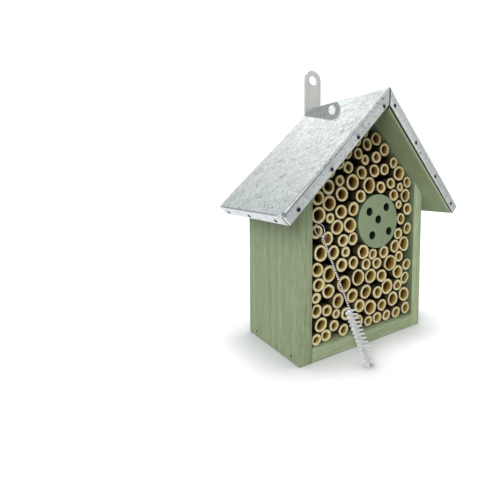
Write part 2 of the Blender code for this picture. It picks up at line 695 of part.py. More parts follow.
def brush_frame(centres, radii):
    """The brush's own frame: Z runs up its axis from its tip, X runs across its loop."""
    lean = Vector((-math.sin(BRUSH_TURN), math.cos(BRUSH_TURN), 0)) * math.sin(BRUSH_LEAN)
    axis = lean + Vector((0, 0, math.cos(BRUSH_LEAN)))
    across = Vector((0, 1, 0)).cross(axis).normalized()
    turn = Matrix((across, axis.cross(across), axis)).transposed().to_4x4()
    foot_z = BRUSH_CORE_WIDTH / 2 * math.sin(BRUSH_LEAN)
    top = Vector((BRUSH_TOP_SHARE * ROOM_HALF, 0, foot_z + BRUSH_LENGTH * axis.z))
    frame = Matrix.Translation(top - axis * BRUSH_LENGTH) @ turn
    loop = [frame @ loop_point(angle) for angle in np.linspace(0, 2 * math.pi, SEAT_POINTS)]
    back = min(depth_behind(point, centres, radii) - point.y for point in loop)
    return Matrix.Translation((0, back, 0)) @ frame


def make_bristles(frame):
    """Bristles in opposite pairs, in the left-handed helix that the twist of two wires makes."""
    length = BRUSH_TIP + BRISTLE_TURNS * BRISTLE_TURN_LENGTH + BRUSH_TIP
    core, strands = bmesh.new(), bmesh.new()
    add_rod(core, (0, 0, 0), (0, 0, 1), length, BRUSH_CORE_WIDTH / 2, BRUSH_CORE_SIDES)
    root = BRUSH_CORE_WIDTH / 2 - BRISTLE_ROOT
    reach = BRISTLE_WIDTH / 2 - root
    for number in range(round(BRISTLE_TURNS * BRISTLE_PAIRS_PER_TURN)):
        turns = number / BRISTLE_PAIRS_PER_TURN
        height = BRUSH_TIP + turns * BRISTLE_TURN_LENGTH
        for side in SIDES.values():
            angle = turns * 2 * math.pi
            way = side * Vector((math.cos(angle), -math.sin(angle), 0))
            start = way * root + Vector((0, 0, height))
            add_rod(strands, start, way, reach, BRISTLE_THICKNESS / 2, BRISTLE_SIDES)
    bristles = add_part("brush_bristles", mesh_from(core), "nylon")
    bristles.matrix_world = frame
    tufts = add_cutter("brush_tufts", mesh_from(strands))
    tufts.matrix_world = frame
    combine(bristles, tufts, "UNION")
    return length


def make_brush_wire(frame, start):
    """The twisted stem above the bristles, with the loop that it ends in."""
    loop_low = BRUSH_LENGTH - LOOP_HEIGHT
    stem = bmesh.new()
    length = loop_low + LOOP_WIRE_WIDTH - start
    add_rod(stem, (0, 0, start), (0, 0, 1), length, STEM_WIDTH / 2, STEM_SIDES)
    wire = add_part("brush_wire", mesh_from(stem), "brush_wire")
    wire.matrix_world = frame
    curve = bpy.data.curves.new("loop", "CURVE")
    curve.dimensions = "3D"
    curve.bevel_depth = LOOP_WIRE_WIDTH / 2
    curve.bevel_resolution = 1
    spline = curve.splines.new("POLY")
    spline.points.add(LOOP_POINTS - 1)
    for number, point in enumerate(spline.points):
        point.co = loop_point(number * 2 * math.pi / LOOP_POINTS).to_4d()
    spline.use_cyclic_u = True
    guide = bpy.data.objects.new("loop", curve)
    bpy.context.scene.collection.objects.link(guide)
    bpy.context.view_layer.update()
    graph = bpy.context.evaluated_depsgraph_get()
    loop = add_cutter("brush_loop", bpy.data.meshes.new_from_object(guide.evaluated_get(graph)))
    bpy.data.objects.remove(guide)
    loop.matrix_world = frame
    combine(wire, loop, "UNION")


def main():
    clear_scene()
    make_walls()
    make_floor()
    make_back_panel()
    make_roof_boards()
    make_roof_sheet()
    make_lip_nails()
    make_wall_nails()
    make_hanging_tab()
    make_block()
    centres, radii, members, lines = lay_out_tubes()
    make_bundles(centres, radii, members, lines)
    frame = brush_frame(centres, radii)
    length = make_bristles(frame)
    make_brush_wire(frame, length + CLEARANCE)


main()
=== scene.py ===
"""The looks of a bee hotel: painted timber, galvanised sheet, bamboo canes and a bottle brush.

Metres, +Z up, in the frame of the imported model: X runs left to right, Y from the open front to
the back, and the origin is the centre of the base on the surface that the house stands on.
"""

from math import cos, hypot, pi, radians, sin

import bmesh
import bpy
import numpy as np
from mathutils import Matrix, Vector, noise


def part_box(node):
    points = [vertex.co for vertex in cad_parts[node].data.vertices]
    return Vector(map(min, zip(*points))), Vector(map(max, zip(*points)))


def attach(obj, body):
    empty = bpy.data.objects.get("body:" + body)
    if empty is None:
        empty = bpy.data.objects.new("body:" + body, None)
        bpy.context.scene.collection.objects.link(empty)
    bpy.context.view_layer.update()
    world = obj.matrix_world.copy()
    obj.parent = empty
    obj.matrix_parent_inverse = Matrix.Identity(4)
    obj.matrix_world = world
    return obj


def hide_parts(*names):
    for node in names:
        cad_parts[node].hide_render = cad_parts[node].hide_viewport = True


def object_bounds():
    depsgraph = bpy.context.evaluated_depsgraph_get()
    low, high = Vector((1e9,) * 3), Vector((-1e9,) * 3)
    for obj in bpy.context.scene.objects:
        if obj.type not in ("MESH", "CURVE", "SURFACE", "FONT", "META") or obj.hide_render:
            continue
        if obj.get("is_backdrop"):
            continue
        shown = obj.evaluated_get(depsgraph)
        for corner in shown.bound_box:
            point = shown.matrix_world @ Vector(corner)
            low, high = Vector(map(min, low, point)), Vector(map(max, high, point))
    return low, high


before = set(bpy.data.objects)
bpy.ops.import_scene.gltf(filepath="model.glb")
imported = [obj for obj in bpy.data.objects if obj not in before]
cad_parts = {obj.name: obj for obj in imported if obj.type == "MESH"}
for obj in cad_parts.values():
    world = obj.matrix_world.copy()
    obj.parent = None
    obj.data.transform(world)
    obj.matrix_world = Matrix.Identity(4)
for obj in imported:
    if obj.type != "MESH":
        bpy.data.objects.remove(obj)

CAD_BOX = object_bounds()

# Camera: fitted to the corners of the house in the photograph, which is 500 pixels wide
CAMERA_PLACE = Vector((-0.2201, -0.2782, 0.1465))
CAMERA_YAW = radians(-39.98)
CAMERA_PITCH = radians(-4.19)
CAMERA_ROLL = radians(-0.72)
FOCAL_PIXELS = 362.07
CENTRE_PIXEL = (348.55, 208.03)
IMAGE_PIXELS = 500
SENSOR_MM = 36
NEAREST_SEEN = 0.01

# Studio: the key light comes over the house from behind, and the front is lit by a soft fill
KEY_FROM = Vector((0.164, 0.768, 0.620))
KEY_STRENGTH = 3.8
KEY_ANGLE = radians(1.6)
FILL_PLACE = Vector((-1.20, -1.11, 0.87))
FILL_SIZE = 0.9
FILL_POWER = 18.0
SKY_STRENGTH = 0.43
FLOOR_SIZE = 6.0
# The floor's glow: lower near the house, so that real shadow shows there, a faint painted shade, and
# dimmed by a painted contact shadow from ambient occlusion
FLOOR_GLOW_NEAR = 0.585
FLOOR_GLOW_FAR = 0.95
FLOOR_NEAR = 0.12
FLOOR_FAR = 0.60
FLOOR_CONTACT = 0.041
FLOOR_CONTACT_POWER = 3.1

# Planes and sizes read from the frame
SHEET_LOW, SHEET_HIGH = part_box("roof_sheet")
WALL_LOW, WALL_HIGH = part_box("left_wall")
BACK_LOW, BACK_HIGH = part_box("back_panel")
FLOOR_LOW, FLOOR_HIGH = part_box("floor_board")
TAB_LOW, TAB_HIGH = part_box("hanging_tab")
BLOCK_LOW, BLOCK_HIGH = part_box("drilled_block")
BLOCK_CENTRE = (BLOCK_LOW + BLOCK_HIGH) / 2
BLOCK_RADIUS = (BLOCK_HIGH.x - BLOCK_LOW.x) / 2
HALF_WIDTH = -WALL_LOW.x
ROOM_HALF = -WALL_HIGH.x
SIDES = {"left": -1, "right": 1}

# Roof: depths are measured square to the slope, from the sheet's outer face
ROOF_PITCH = radians(45)
RIDGE_Z = SHEET_HIGH.z
ROOF_SLOPE = SHEET_HIGH.x / cos(ROOF_PITCH)
ROOF_FRONT_Y, ROOF_BACK_Y = SHEET_LOW.y, SHEET_HIGH.y
SHEET_THICKNESS = 0.0005
LIP_DEPTH = 0.0094
LIP_SLIT = 0.0010
FOLD_RADIUS = 0.0009
FOLD_STEPS = 4
FOLD_LEAST = radians(17)
SHEET_CELL = 0.003
LIP_CELL = 0.0011
BOARD_TOP = 0.0010
BOARD_UNDER = 0.0110
BOARD_EAVE_GAP = 0.0014
BOARD_FRONT_GAP = 0.0019
BOARD_MITRE_GAP = 0.0006
SLOT_DEPTH = 0.0011
WALL_GAP = 0.0004

# Sheet's unevenness: a mark is its side, its share of the slope and its share of the lip's depth
SHEET_MARK_SHARES = ((1, 0.846, 0.75), (1, 0.453, 0.77), (-1, 0.09, 0.17))
MARK_RADIUS = 0.0013
SHEET_WAVE = 0.00016
SHEET_WAVE_LENGTH = 0.055
SHEET_CALM_EDGE = 0.012
DIMPLE_DEPTH = 0.00065
DIMPLE_RADIUS = 0.0029
DIMPLE_CUT_SHARES = (-1.0, -0.55, -0.2, 0.2, 0.55, 1.0)
RIDGE_LIFT = 0.0006
RIDGE_LIFT_REACH = 0.009
FLAP_WIDTH = 0.0028
FLAP_STEP = 0.00020
FLAP_EDGE = 0.00012
SLIVER_WIDTH = 0.0014
CREASE_START = 0.036
CREASE_WIDTH = 0.0028
CREASE_LINE = 0.0007
CREASE_DROP = 0.0003
CREASE_TURN = 0.011
SPANGLE_WARP = 0.0022

# Nails: places are shares of the edge that they follow
NAIL_HEAD = 0.0029
NAIL_DOME = 0.0007
NAIL_SHANK = 0.0014
NAIL_LENGTH = 0.010
LIP_NAIL_DROP = 0.0066
FRONT_NAIL_DROPS = {"left": 0.0069, "right": 0.0053}
FRONT_NAIL_SHARES = {"left": (0.11, 0.38, 0.63, 0.91), "right": (0.10, 0.38, 0.67, 0.93)}
EAVE_NAIL_SHARES = (0.145, 0.53, 0.90)
BRAD_HEAD = 0.0020
BRAD_LENGTH = 0.024

# Timber
EDGE_ROUND = 0.0007
EDGE_STEPS = 2
TIMBER_CELL = 0.006
TIMBER_UNEVEN = 0.00012
TIMBER_UNEVEN_LENGTH = 0.030

# Round block
BLOCK_SIDES = 96
BLOCK_EDGE = 0.0008
BLOCK_EDGE_STEPS = 4
BLOCK_HOLE_WIDTH = 0.0074
BLOCK_HOLE_DEPTH = 0.060
BLOCK_HOLE_SIDES = 40
BLOCK_HOLE_SHARES = ((-0.46, 0.37), (0.40, 0.51), (-0.01, 0.07), (-0.30, -0.50), (0.56, -0.41))
HOLE_MOUTH_SHARE = 1.12

# Strap: the hole lies on the centre of its rounded top
STRAP_HOLE_WIDTH = 0.0095
STRAP_ARC_STEPS = 40
STRAP_EDGE = 0.0002
SCREW_HEAD = 0.0062
SCREW_DOME = 0.0019
SCREW_SHANK = 0.003
SCREW_LENGTH = 0.0085
RECESS_WIDTH = 0.0009
RECESS_LENGTH = 0.0034
RECESS_DEPTH = 0.0011
TURNED_SIDES = 28
DOME_STEPS = 5

# Canes: each ring is its share of the radius, its share across the wall, its share of the way
# to the back, and whether it lies on the sawn end
CANE_SEGMENTS = 30
CANE_RING_SHARES = (
    (0.0, 0.0, 0.950, 0.0),
    (0.9, 0.0, 0.950, 0.0),
    (1.0, 0.0, 0.930, 0.0),
    (1.0, 0.0, 0.450, 0.0),
    (1.0, 0.0, 0.130, 0.0),
    (1.0, 0.0, 0.030, 0.0),
    (1.0, 0.01, 0.004, 0.3),
    (1.0, 0.09, 0.000, 1.0),
    (1.0, 0.50, 0.000, 1.0),
    (1.0, 0.90, 0.000, 1.0),
    (1.0, 0.99, 0.004, 0.3),
    (1.0, 1.00, 0.020, 0.0),
    (1.0, 1.00, 0.240, 0.0),
    (1.0, 1.00, 0.600, 0.0),
    (1.0, 1.00, 1.000, 0.0),
    (0.0, 1.00, 1.000, 0.0),
)
CANE_UNEVEN_SHARE = 0.10
BORE_UNEVEN_SHARE = 0.16
CANE_RAGGED = 0.0005
CANE_TILT_SHARE = 0.08
CANE_SEED = 11
CANE_SEED_RANGE = 40
TUBE_RING_LEAST = 12
TUBE_RING_MATCH = 2e-5
PITH_PLACE_SHARES = ((-0.572, 1.412), (0.596, 0.622))
PITH_DEPTH_SHARE = 0.04

# Brush: each ring of a filament is its share of the length and of the width
WIRE_WIDTH = 0.00085
LOOP_WIDTH = 0.0096
LOOP_HEIGHT = 0.0112
LOOP_STEPS = 40
LOOP_OPENING = radians(24)
STEM_TURN = 0.0040
HEAD_TURN = 0.0067
HEAD_START = 0.0029
HEAD_LENGTH = 0.0462
HEAD_LOW_END = 0.006
TWIST_STEPS = 14
WIRE_SIDES = 8
BRUSH_TIP_SHIFT = 0.0017
BRUSH_TOP_SHIFT = -0.0009
LOOP_FROM_SHARE = 1.2
# The loop's painted light, a darker tone between painted shade and bright steel
LOOP_SHINE = 0.80
BRISTLE_REACH = 0.0052
BRISTLE_SWEEP = 0.36
BRISTLE_LOW_SWEEP = 0.15
BRISTLE_STRAY_TURN = 0.10
BRISTLE_STRAY_SWEEP = 0.06
BRISTLE_SHORTEST_SHARE = 0.90
BRISTLE_THICKNESS = 0.00018
BRISTLE_COUNT = 3000
BRISTLE_SCATTER = 0.00026
BRISTLE_SEED = 5
BRISTLE_RING_SHARES = ((0.0, 1.0), (0.5, 0.95), (1.0, 0.7))

# Relief: how deep the bumps of each finish are
TIMBER_RELIEF = 0.00025
END_GRAIN_RELIEF = 0.0002
BAMBOO_RELIEF = 0.0002
ZINC_RELIEF = 0.00006
STRAP_RELIEF = 0.00003
STEEL_RELIEF = 0.00002

# Colours, linear
SAGE = (0.302, 0.370, 0.210)
SAGE_DEEP = (0.215, 0.280, 0.139)
SAGE_PALE = (0.385, 0.446, 0.284)
# Painted light on the timber: a painted highlight on the roof boards' front edge, and painted shade
# inside the room, under the sheet's lip, at the ridge gap and towards the ridge
SAGE_PAINTED_HIGHLIGHT = (0.520, 0.600, 0.420)
SAGE_PAINTED_SHADE = (0.050, 0.088, 0.040)
# Painted light: the same stain is made paler on the right wall, the floor board and the roof boards, for
# the light that falls on them
RIGHT_WALL_PAINTED_LIGHT = 1.34
FLOOR_BOARD_PAINTED_LIGHT = 1.16
ROOF_BOARD_PAINTED_LIGHT = 1.16
ROOF_BOARD_CONTRAST = 0.50
SAGE_BLOCK = (0.268, 0.332, 0.200)
SAGE_BLOCK_DEEP = (0.230, 0.302, 0.164)
# Painted shade inside the block's holes and on its side
HOLE_PAINTED_SHADE = (0.010, 0.016, 0.008)
ZINC = (0.340, 0.372, 0.368)
ZINC_DARK = (0.172, 0.204, 0.204)
ZINC_PALE = (0.512, 0.556, 0.548)
# Painted light: the lips are paler than the slopes, for the light that they catch
ZINC_LIP_PAINTED_LIGHT = (0.670, 0.705, 0.690)
ZINC_LIP_PAINTED_LIGHT_DULL = (0.570, 0.600, 0.600)
ZINC_LIP_PAINTED_LIGHT_PALE = (0.790, 0.830, 0.800)
# Painted highlights on the folds, the eave lip and the lapped corner
ZINC_PAINTED_HIGHLIGHT = (0.820, 0.860, 0.865)
# Scratches and dark marks of the sheet's own, and painted shade lines in the crease, under the fold, at
# the raw edge, in the corner seam and round the nails
ZINC_MARK_AND_PAINTED_SHADE = (0.070, 0.078, 0.085)
WHITE_PAINTED_HIGHLIGHT = (0.930, 0.970, 0.975)
STRAP_ZINC = (0.560, 0.575, 0.545)
SCREW_STEEL = (0.42, 0.42, 0.41)
# Black of the nails, also the painted shadow at the ridge slit
NAIL_AND_PAINTED_SHADOW_BLACK = (0.008, 0.008, 0.009)
STRAW = (0.785, 0.685, 0.360)
STRAW_DARK = (0.480, 0.355, 0.140)
STRAW_FRINGE = (0.880, 0.805, 0.520)
STRAW_BLUSH = (0.780, 0.600, 0.360)
BORE_PALE = (0.430, 0.315, 0.066)
BORE_BROWN = (0.310, 0.190, 0.030)
# Painted shade in the bores, deepening inwards
BORE_SHADE = (0.120, 0.046, 0.006)
BORE_DEEP_SHADE = (0.030, 0.013, 0.003)
CANE_SKIN = (0.100, 0.075, 0.030)
CANE_SKIN_DARK = (0.035, 0.024, 0.009)
# Painted shade on the skins between the canes, deeper inwards
CANE_SKIN_SHADE = (0.010, 0.007, 0.003)
PITH_PINK = (0.300, 0.165, 0.110)
PITH_DARK = (0.080, 0.034, 0.016)
WIRE_STEEL = (0.760, 0.740, 0.780)
# Painted shade where the brush's wires press together
WIRE_PAINTED_SHADE = (0.045, 0.040, 0.045)
NYLON = (0.960, 0.965, 0.970)
FLOOR_COLOUR = (0.79, 0.80, 0.83)


def set_up(thing, **settings):
    """The thing with those properties set."""
    for name, value in settings.items():
        setattr(thing, name, value)
    return thing


class Value:
    """What a node puts out. Sums and products of values are more nodes of the same tree."""

    def __init__(self, socket):
        self.socket = socket
        self.tree = socket.id_data

    def __getitem__(self, output):
        """Another output of the same node."""
        return Value(self.socket.node.outputs[output])

    def __add__(self, other):
        return calc("ADD", self, other)

    def __sub__(self, other):
        return calc("SUBTRACT", self, other)

    def __rsub__(self, other):
        return calc("SUBTRACT", other, self)

    def __mul__(self, other):
        return calc("MULTIPLY", self, other)

    def __truediv__(self, other):
        return calc("DIVIDE", self, other)

    def __abs__(self):
        return calc("ABSOLUTE", self)


def feed(node, inputs):
    """Sets a node's inputs, by name or number, to plain values or to what other nodes put out."""
    for key, value in inputs.items():
        socket = node.inputs[key]
        if isinstance(value, Value):
            value.tree.links.new(value.socket, socket)
        elif socket.type == "VECTOR" and isinstance(value, float):
            socket.default_value = (value, value, value)
        else:
            socket.default_value = value


def add(kind, inputs=None, tree=None, **settings):
    """A new node's first output. The tree is given where no input comes from another node."""
    inputs = inputs or {}
    tree = tree or next(value.tree for value in inputs.values() if isinstance(value, Value))
    made = set_up(tree.nodes.new(kind), **settings)
    feed(made, inputs)
    return Value(made.outputs[0])


def calc(operation, *values):
    """The result of a Math node, or of a Vector Math node where the values are vectors."""
    first = next(value for value in values if isinstance(value, Value))
    kind = "ShaderNodeVectorMath" if first.socket.type in ("VECTOR", "RGBA") else "ShaderNodeMath"
    return add(kind, dict(enumerate(values)), operation=operation)


def largest(first, *others):
    """The largest of several values."""
    for other in others:
        first = calc("MAXIMUM", first, other)
    return first


def length_of(vector):
    """A vector's length."""
    return calc("LENGTH", vector)["Value"]


def axes(vector):
    """A vector's X, Y and Z."""
    split = add("ShaderNodeSeparateXYZ", {0: vector})
    return split["X"], split["Y"], split["Z"]


def ramp(value, low, high):
    """How far a value lies from low to high, from 0 to 1, with eased ends."""
    inputs = {"Value": value, "From Min": low, "From Max": high}
    return add("ShaderNodeMapRange", inputs, interpolation_type="SMOOTHSTEP")


def mix(share, one, other, blend="MIX"):
    """A blend of two colours."""
    one, other = ((*colour, 1) if isinstance(colour, tuple) else colour for colour in (one, other))
    inputs = {0: share, 6: one, 7: other}
    return add("ShaderNodeMix", inputs, data_type="RGBA", blend_type=blend)[2]


def coated(colour, *coats):
    """A colour with others laid over it in turn, each by its share."""
    for share, coat in coats:
        colour = mix(share, colour, coat)
    return colour


def toned(colour, share):
    """A plain colour made darker, or paler as far as white."""
    return tuple(min(1.0, share * value) for value in colour)


def grains(place, scale, detail=3.0, roughness=0.55):
    """A noise, about 0.25 to 0.75, over a place."""
    inputs = {"Vector": place, "Scale": scale, "Detail": detail, "Roughness": roughness}
    return add("ShaderNodeTexNoise", inputs)


def stretched(place, stretch, turn=(0, 0, 0), shift=(0, 0, 0)):
    """A place turned and moved, then stretched along its axes."""
    laid = add("ShaderNodeMapping", {"Vector": place, "Rotation": turn, "Location": shift})
    return add("ShaderNodeMapping", {"Vector": laid, "Scale": stretch})


def read(tree, name, output="Fac"):
    """A value that the mesh's points carry."""
    return add("ShaderNodeAttribute", tree=tree, attribute_name=name)[output]


def start_material(name, attribute=None):
    """A new material and its place on the piece: Object coordinates, or a vector that it carries."""
    material = bpy.data.materials.new(name)
    material.use_nodes = True
    tree = material.node_tree
    if attribute:
        return material, read(tree, attribute, "Vector")
    return material, add("ShaderNodeTexCoord", tree=tree)["Object"]


def dress(material, colour, roughness, metallic=0.0, specular=0.5, relief=None, depth=0.0):
    """The material with its surface set. The relief is bumps of that depth in metres."""
    inputs = {"Base Color": colour, "Roughness": roughness, "Metallic": metallic}
    inputs["Specular IOR Level"] = specular
    if relief is not None:
        bumps = {"Height": relief, "Distance": depth, "Strength": 1.0}
        inputs["Normal"] = add("ShaderNodeBump", bumps)
    feed(material.node_tree.nodes["Principled BSDF"], inputs)
    return material


def in_room(place):
    """1 on the faces that look into the room, and 0 on the others."""
    x, y, z = axes(place)
    between_walls = ramp(abs(x), ROOM_HALF + EDGE_ROUND, ROOM_HALF)
    before_back = ramp(y, BACK_HIGH.y - EDGE_ROUND, BACK_LOW.y)
    above_floor = ramp(z, FLOOR_HIGH.z, FLOOR_HIGH.z + EDGE_ROUND)
    below_roof = ramp(z, WALL_HIGH.z, WALL_HIGH.z - EDGE_ROUND)
    return between_walls * before_back * above_floor * below_roof


def roof_board_painted_light(place):
    """Where the sheet's lip and the ridge shade a roof board, as painted shade, and its coats of painted
    light: painted shade towards the ridge and a painted highlight on the front edge.
    """
    x, y, z = axes(place)
    from_middle = abs(x)
    drop = RIDGE_Z - z
    up_slope = ramp((from_middle + drop) * cos(ROOF_PITCH), ROOF_SLOPE, 0.0)
    under = (drop - from_middle) * cos(ROOF_PITCH)
    below_lip = under - (up_slope * SLOT_DEPTH + LIP_DEPTH)
    # Painted shade in the slot under the sheet's lip, and along the ridge gap
    covered = ramp(below_lip, SLOT_DEPTH / 4, -SLOT_DEPTH / 4)
    parted = ramp(from_middle, LIP_SLIT * 1.6, LIP_SLIT)
    # A painted highlight on the board's front end
    highlight_edge_y = ROOF_FRONT_Y + BOARD_FRONT_GAP + EDGE_ROUND
    painted_edge_highlight = ramp(y, highlight_edge_y + EDGE_ROUND, highlight_edge_y)
    # Painted shade, darker towards the ridge, and the painted highlight on the front end
    coats = [(up_slope * 0.34, SAGE_PAINTED_SHADE), (painted_edge_highlight * 0.5, SAGE_PAINTED_HIGHLIGHT)]
    return largest(covered, parted), coats


def painted_timber(name, turn, shift, tone=1.0, contrast=1.0, on_slope=False):
    """Softwood under a sage stain, with painted shade on the faces inside the room; the roof boards also
    get painted shade under the sheet's lip, at the ridge gap and towards the ridge, and a painted
    highlight on the front edge. The turn lays the grain, which runs along Z, and the shift gives each
    board a stretch of its own."""
    pale, middle, deep = (toned(colour, tone) for colour in (SAGE_PALE, SAGE, SAGE_DEEP))
    material, place = start_material(name)
    grain = stretched(place, (1, 1, 0.075), turn, shift)
    fibre = grains(grain, 820, detail=4, roughness=0.8)
    pore = ramp(grains(grain, 1500, detail=2), 0.60, 0.70)
    warp = grains(stretched(place, (1, 1, 0.15), turn, shift), 28, detail=2)
    across, off, _ = axes(grain)
    ring = calc("SINE", warp * 9.0 + (across + off * 0.35) * 1500) * 0.5 + 0.5
    stain = grains(grain, 90, detail=2) * 0.22 + fibre * 1.2 + ring * 0.08
    # Painted shade on the faces inside the room; on the roof boards, painted shade under the lip and at
    # the ridge gap, and coats of painted shade and highlight
    shade, wear_and_painted_light = in_room(place) * 0.75, []
    if on_slope:
        covered, wear_and_painted_light = roof_board_painted_light(place)
        shade = largest(shade, covered)
    colour = coated(
        mix(ramp(stain, 0.51, 0.98), deep, pale),
        (1 - 0.95 * contrast, middle),
        (pore * (0.45 * contrast), deep),
        *wear_and_painted_light,
        (shade, SAGE_PAINTED_SHADE),
    )
    relief = fibre * 0.7 + ring * 0.15 - pore * 0.4
    return dress(material, colour, fibre * 0.25 + 0.52, 0.0, 0.35, relief, TIMBER_RELIEF)


def painted_end_grain(name):
    """The block's painted end grain, with painted shade inside its holes and a little less on its side
    behind the face.
    """
    material, place = start_material(name)
    speck = grains(stretched(place, (1, 0.05, 1)), 1500)
    tone = ramp(speck * 0.6 + grains(place, 70) * 0.6, 0.48, 0.72)
    from_centre = length_of((place - BLOCK_CENTRE) * (1, 0, 1))
    off_rim = ramp(from_centre, BLOCK_RADIUS - BLOCK_EDGE, BLOCK_RADIUS - 2 * BLOCK_EDGE)
    # Painted shade behind the face: full inside the holes, a little less on the block's side
    behind_face = ramp(axes(place)[1], BLOCK_LOW.y, BLOCK_LOW.y + BLOCK_EDGE)
    colour = coated(
        mix(tone, SAGE_BLOCK_DEEP, SAGE_BLOCK),
        (ramp(speck, 0.64, 0.74) * 0.3, SAGE_DEEP),
        (behind_face * (off_rim * 0.2 + 0.8), HOLE_PAINTED_SHADE),
    )
    return dress(material, colour, speck * 0.2 + 0.55, 0.0, 0.35, speck, END_GRAIN_RELIEF)


def spangled(place):
    """How pale the zinc is, its flakes and its fine strokes."""
    wavy = place + grains(place, 420, detail=2, roughness=0.5)["Color"] * SPANGLE_WARP
    spangle = add("ShaderNodeTexVoronoi", {"Vector": wavy, "Scale": 360.0})["Color"]
    flake = add("ShaderNodeSeparateColor", {"Color": spangle})
    strokes = grains(stretched(place, (0.34, 1, 1), (0, 0, 0.12)), 1250, detail=4, roughness=0.78)
    mottle = ramp(flake * 0.16 + strokes * 1.45 + grains(place, 40) * 0.22, 0.735, 1.125)
    return mottle, flake, strokes


def scratched(place, on_slope):
    """Scratches, stronger on the slopes, and the few dark marks on the lips."""
    scratch = grains(stretched(place, (0.3, 1, 1), (0, 0, -0.25)), 800, detail=1)
    scuffed = ramp(grains(place, 55, detail=2), 0.46, 0.62)
    mark = ramp(scratch + scuffed * 0.11, 0.67, 0.72) * (on_slope * 0.45 + 0.45)
    for side, share, depth in SHEET_MARK_SHARES:
        spot = Vector((side * share * ROOF_SLOPE, ROOF_FRONT_Y + depth * LIP_DEPTH, 0))
        mark = largest(mark, ramp(length_of(place - spot), MARK_RADIUS, MARK_RADIUS / 2))
    return mark


def galvanised(name):
    """Zinc-dipped sheet: dull spangle, fine strokes, scratches and a few dark marks, with painted light:
    paler lips, painted highlights on the folds, the eave lip and the lapped corner, and painted shade
    lines beside the folds, in the crease, at the raw edge, in the corner seam, round the nails and at
    the ridge slit.
    """
    material, place = start_material(name, "unrolled")
    x, y, _ = axes(place)
    to_eave, to_end, under = axes(read(place.tree, "edges", "Vector"))
    on_slope = ramp(under, FOLD_RADIUS, 0.0)
    on_end = ramp(to_end, FOLD_RADIUS, 0.0)
    on_left = ramp(x, CREASE_LINE, -CREASE_LINE)
    below_fold = ramp(under, FOLD_RADIUS / 2, FOLD_RADIUS)
    # The eave lip, which is painted near white, a painted highlight
    on_eave = below_fold * ramp(to_eave, FOLD_RADIUS, 0.0) * ramp(to_end, 0.0, FOLD_RADIUS)

    def crease_reach(distance, start):
        """How far in the crease lies from its edge, wider towards the corner."""
        return ramp(distance, start, 0.0) * (CREASE_WIDTH - CREASE_LINE) + CREASE_LINE

    from_eave_crease = to_eave - crease_reach(to_end, CREASE_TURN)
    from_end_crease = to_end - crease_reach(to_eave, CREASE_START)
    inside = calc("MINIMUM", from_eave_crease, from_end_crease)
    off_corner = ramp(to_eave + to_end, 2 * CREASE_WIDTH, 3 * CREASE_WIDTH)
    # Painted shade in the crease's groove
    crease = ramp(abs(inside), CREASE_LINE, 0.0) * on_slope * off_corner
    # Painted highlights on the strip outside the crease and on the folds' arcs
    strip = ramp(inside, 0.0, -CREASE_LINE) * on_slope * 0.25
    arc = ramp(calc("MINIMUM", to_eave, to_end), FOLD_RADIUS, FOLD_RADIUS / 3) * on_slope
    low_down = ramp(to_eave, 0.75 * ROOF_SLOPE, 0.25 * ROOF_SLOPE)
    off_fold = abs(under - (FOLD_RADIUS + CREASE_LINE))
    # Painted shade under the fold on the left slope's end lips, stronger towards the eave
    fold_line = ramp(off_fold, CREASE_LINE, 0.0) * on_end * on_left * (low_down * 0.6 + 0.4)

    past_flap = y + under * (FLAP_WIDTH / LIP_DEPTH) - (ROOF_FRONT_Y + 1.5 * FLAP_WIDTH)
    # Painted shadow of the flap's raw edge on the eave lip
    raw_edge = ramp(abs(past_flap), CREASE_LINE, CREASE_LINE / 4) * on_eave
    # Painted highlights on the lapped flap, and on the sliver round the corner
    flap = ramp(past_flap, 0.0, -CREASE_LINE) * on_eave
    at_corner = below_fold * on_left
    sliver = ramp(to_eave, SLIVER_WIDTH, 0.8 * SLIVER_WIDTH) * on_end * at_corner
    # Painted shade in the seam at the corner
    seam = ramp(largest(to_eave, to_end), 0.8 * FOLD_RADIUS, 0.5 * FOLD_RADIUS) * at_corner
    # Painted shadow at the edges of the slit under the ridge
    slit = ramp(abs(read(place.tree, "from_ridge")), LIP_SLIT * 0.75, LIP_SLIT * 0.55)

    mottle, flake, strokes = spangled(place)
    # The lips are painted paler than the slopes, a painted light; paler still towards the raw edge, and
    # darker towards the eave
    lip = ramp(under, 0.0, FOLD_RADIUS) * (mottle * 0.8 + 0.3)
    to_raw_edge = mix(ramp(under, LIP_DEPTH / 4, LIP_DEPTH), ZINC_LIP_PAINTED_LIGHT_DULL, ZINC_LIP_PAINTED_LIGHT_PALE)
    low_on_lip = ramp(to_eave, ROOF_SLOPE, 0.0) * on_end
    mark = scratched(place, on_slope)
    # Painted shade round each nail
    painted_nail_shade = read(place.tree, "painted_nail_shade") * 0.9
    # Over the spangle: the paler lips, painted highlights, the sheet's marks with painted shade lines,
    # and the painted shadow at the slit
    colour = coated(
        mix(0.35, mix(mottle, ZINC_DARK, ZINC_PALE), ZINC),
        (lip, ZINC_LIP_PAINTED_LIGHT),
        (lip * (1.0 - on_left * 0.7), to_raw_edge),
        (lip * low_on_lip * 0.3, ZINC),
        (largest(strip, arc, on_eave) * 0.85, ZINC_PAINTED_HIGHLIGHT),
        (on_eave * 0.9, WHITE_PAINTED_HIGHLIGHT),
        (largest(flap, sliver), WHITE_PAINTED_HIGHLIGHT),
        (largest(mark, crease, fold_line, raw_edge, seam, painted_nail_shade) * 0.9, ZINC_MARK_AND_PAINTED_SHADE),
        (slit * ramp(to_end, 2 * FOLD_RADIUS, FOLD_RADIUS), NAIL_AND_PAINTED_SHADOW_BLACK),
    )
    shine = largest(on_eave, sliver) * 0.42 + 0.05
    relief = strokes * 0.6 + flake[2]
    return dress(material, colour, flake[1] * 0.10 + 0.66, shine, 0.3, relief, ZINC_RELIEF)


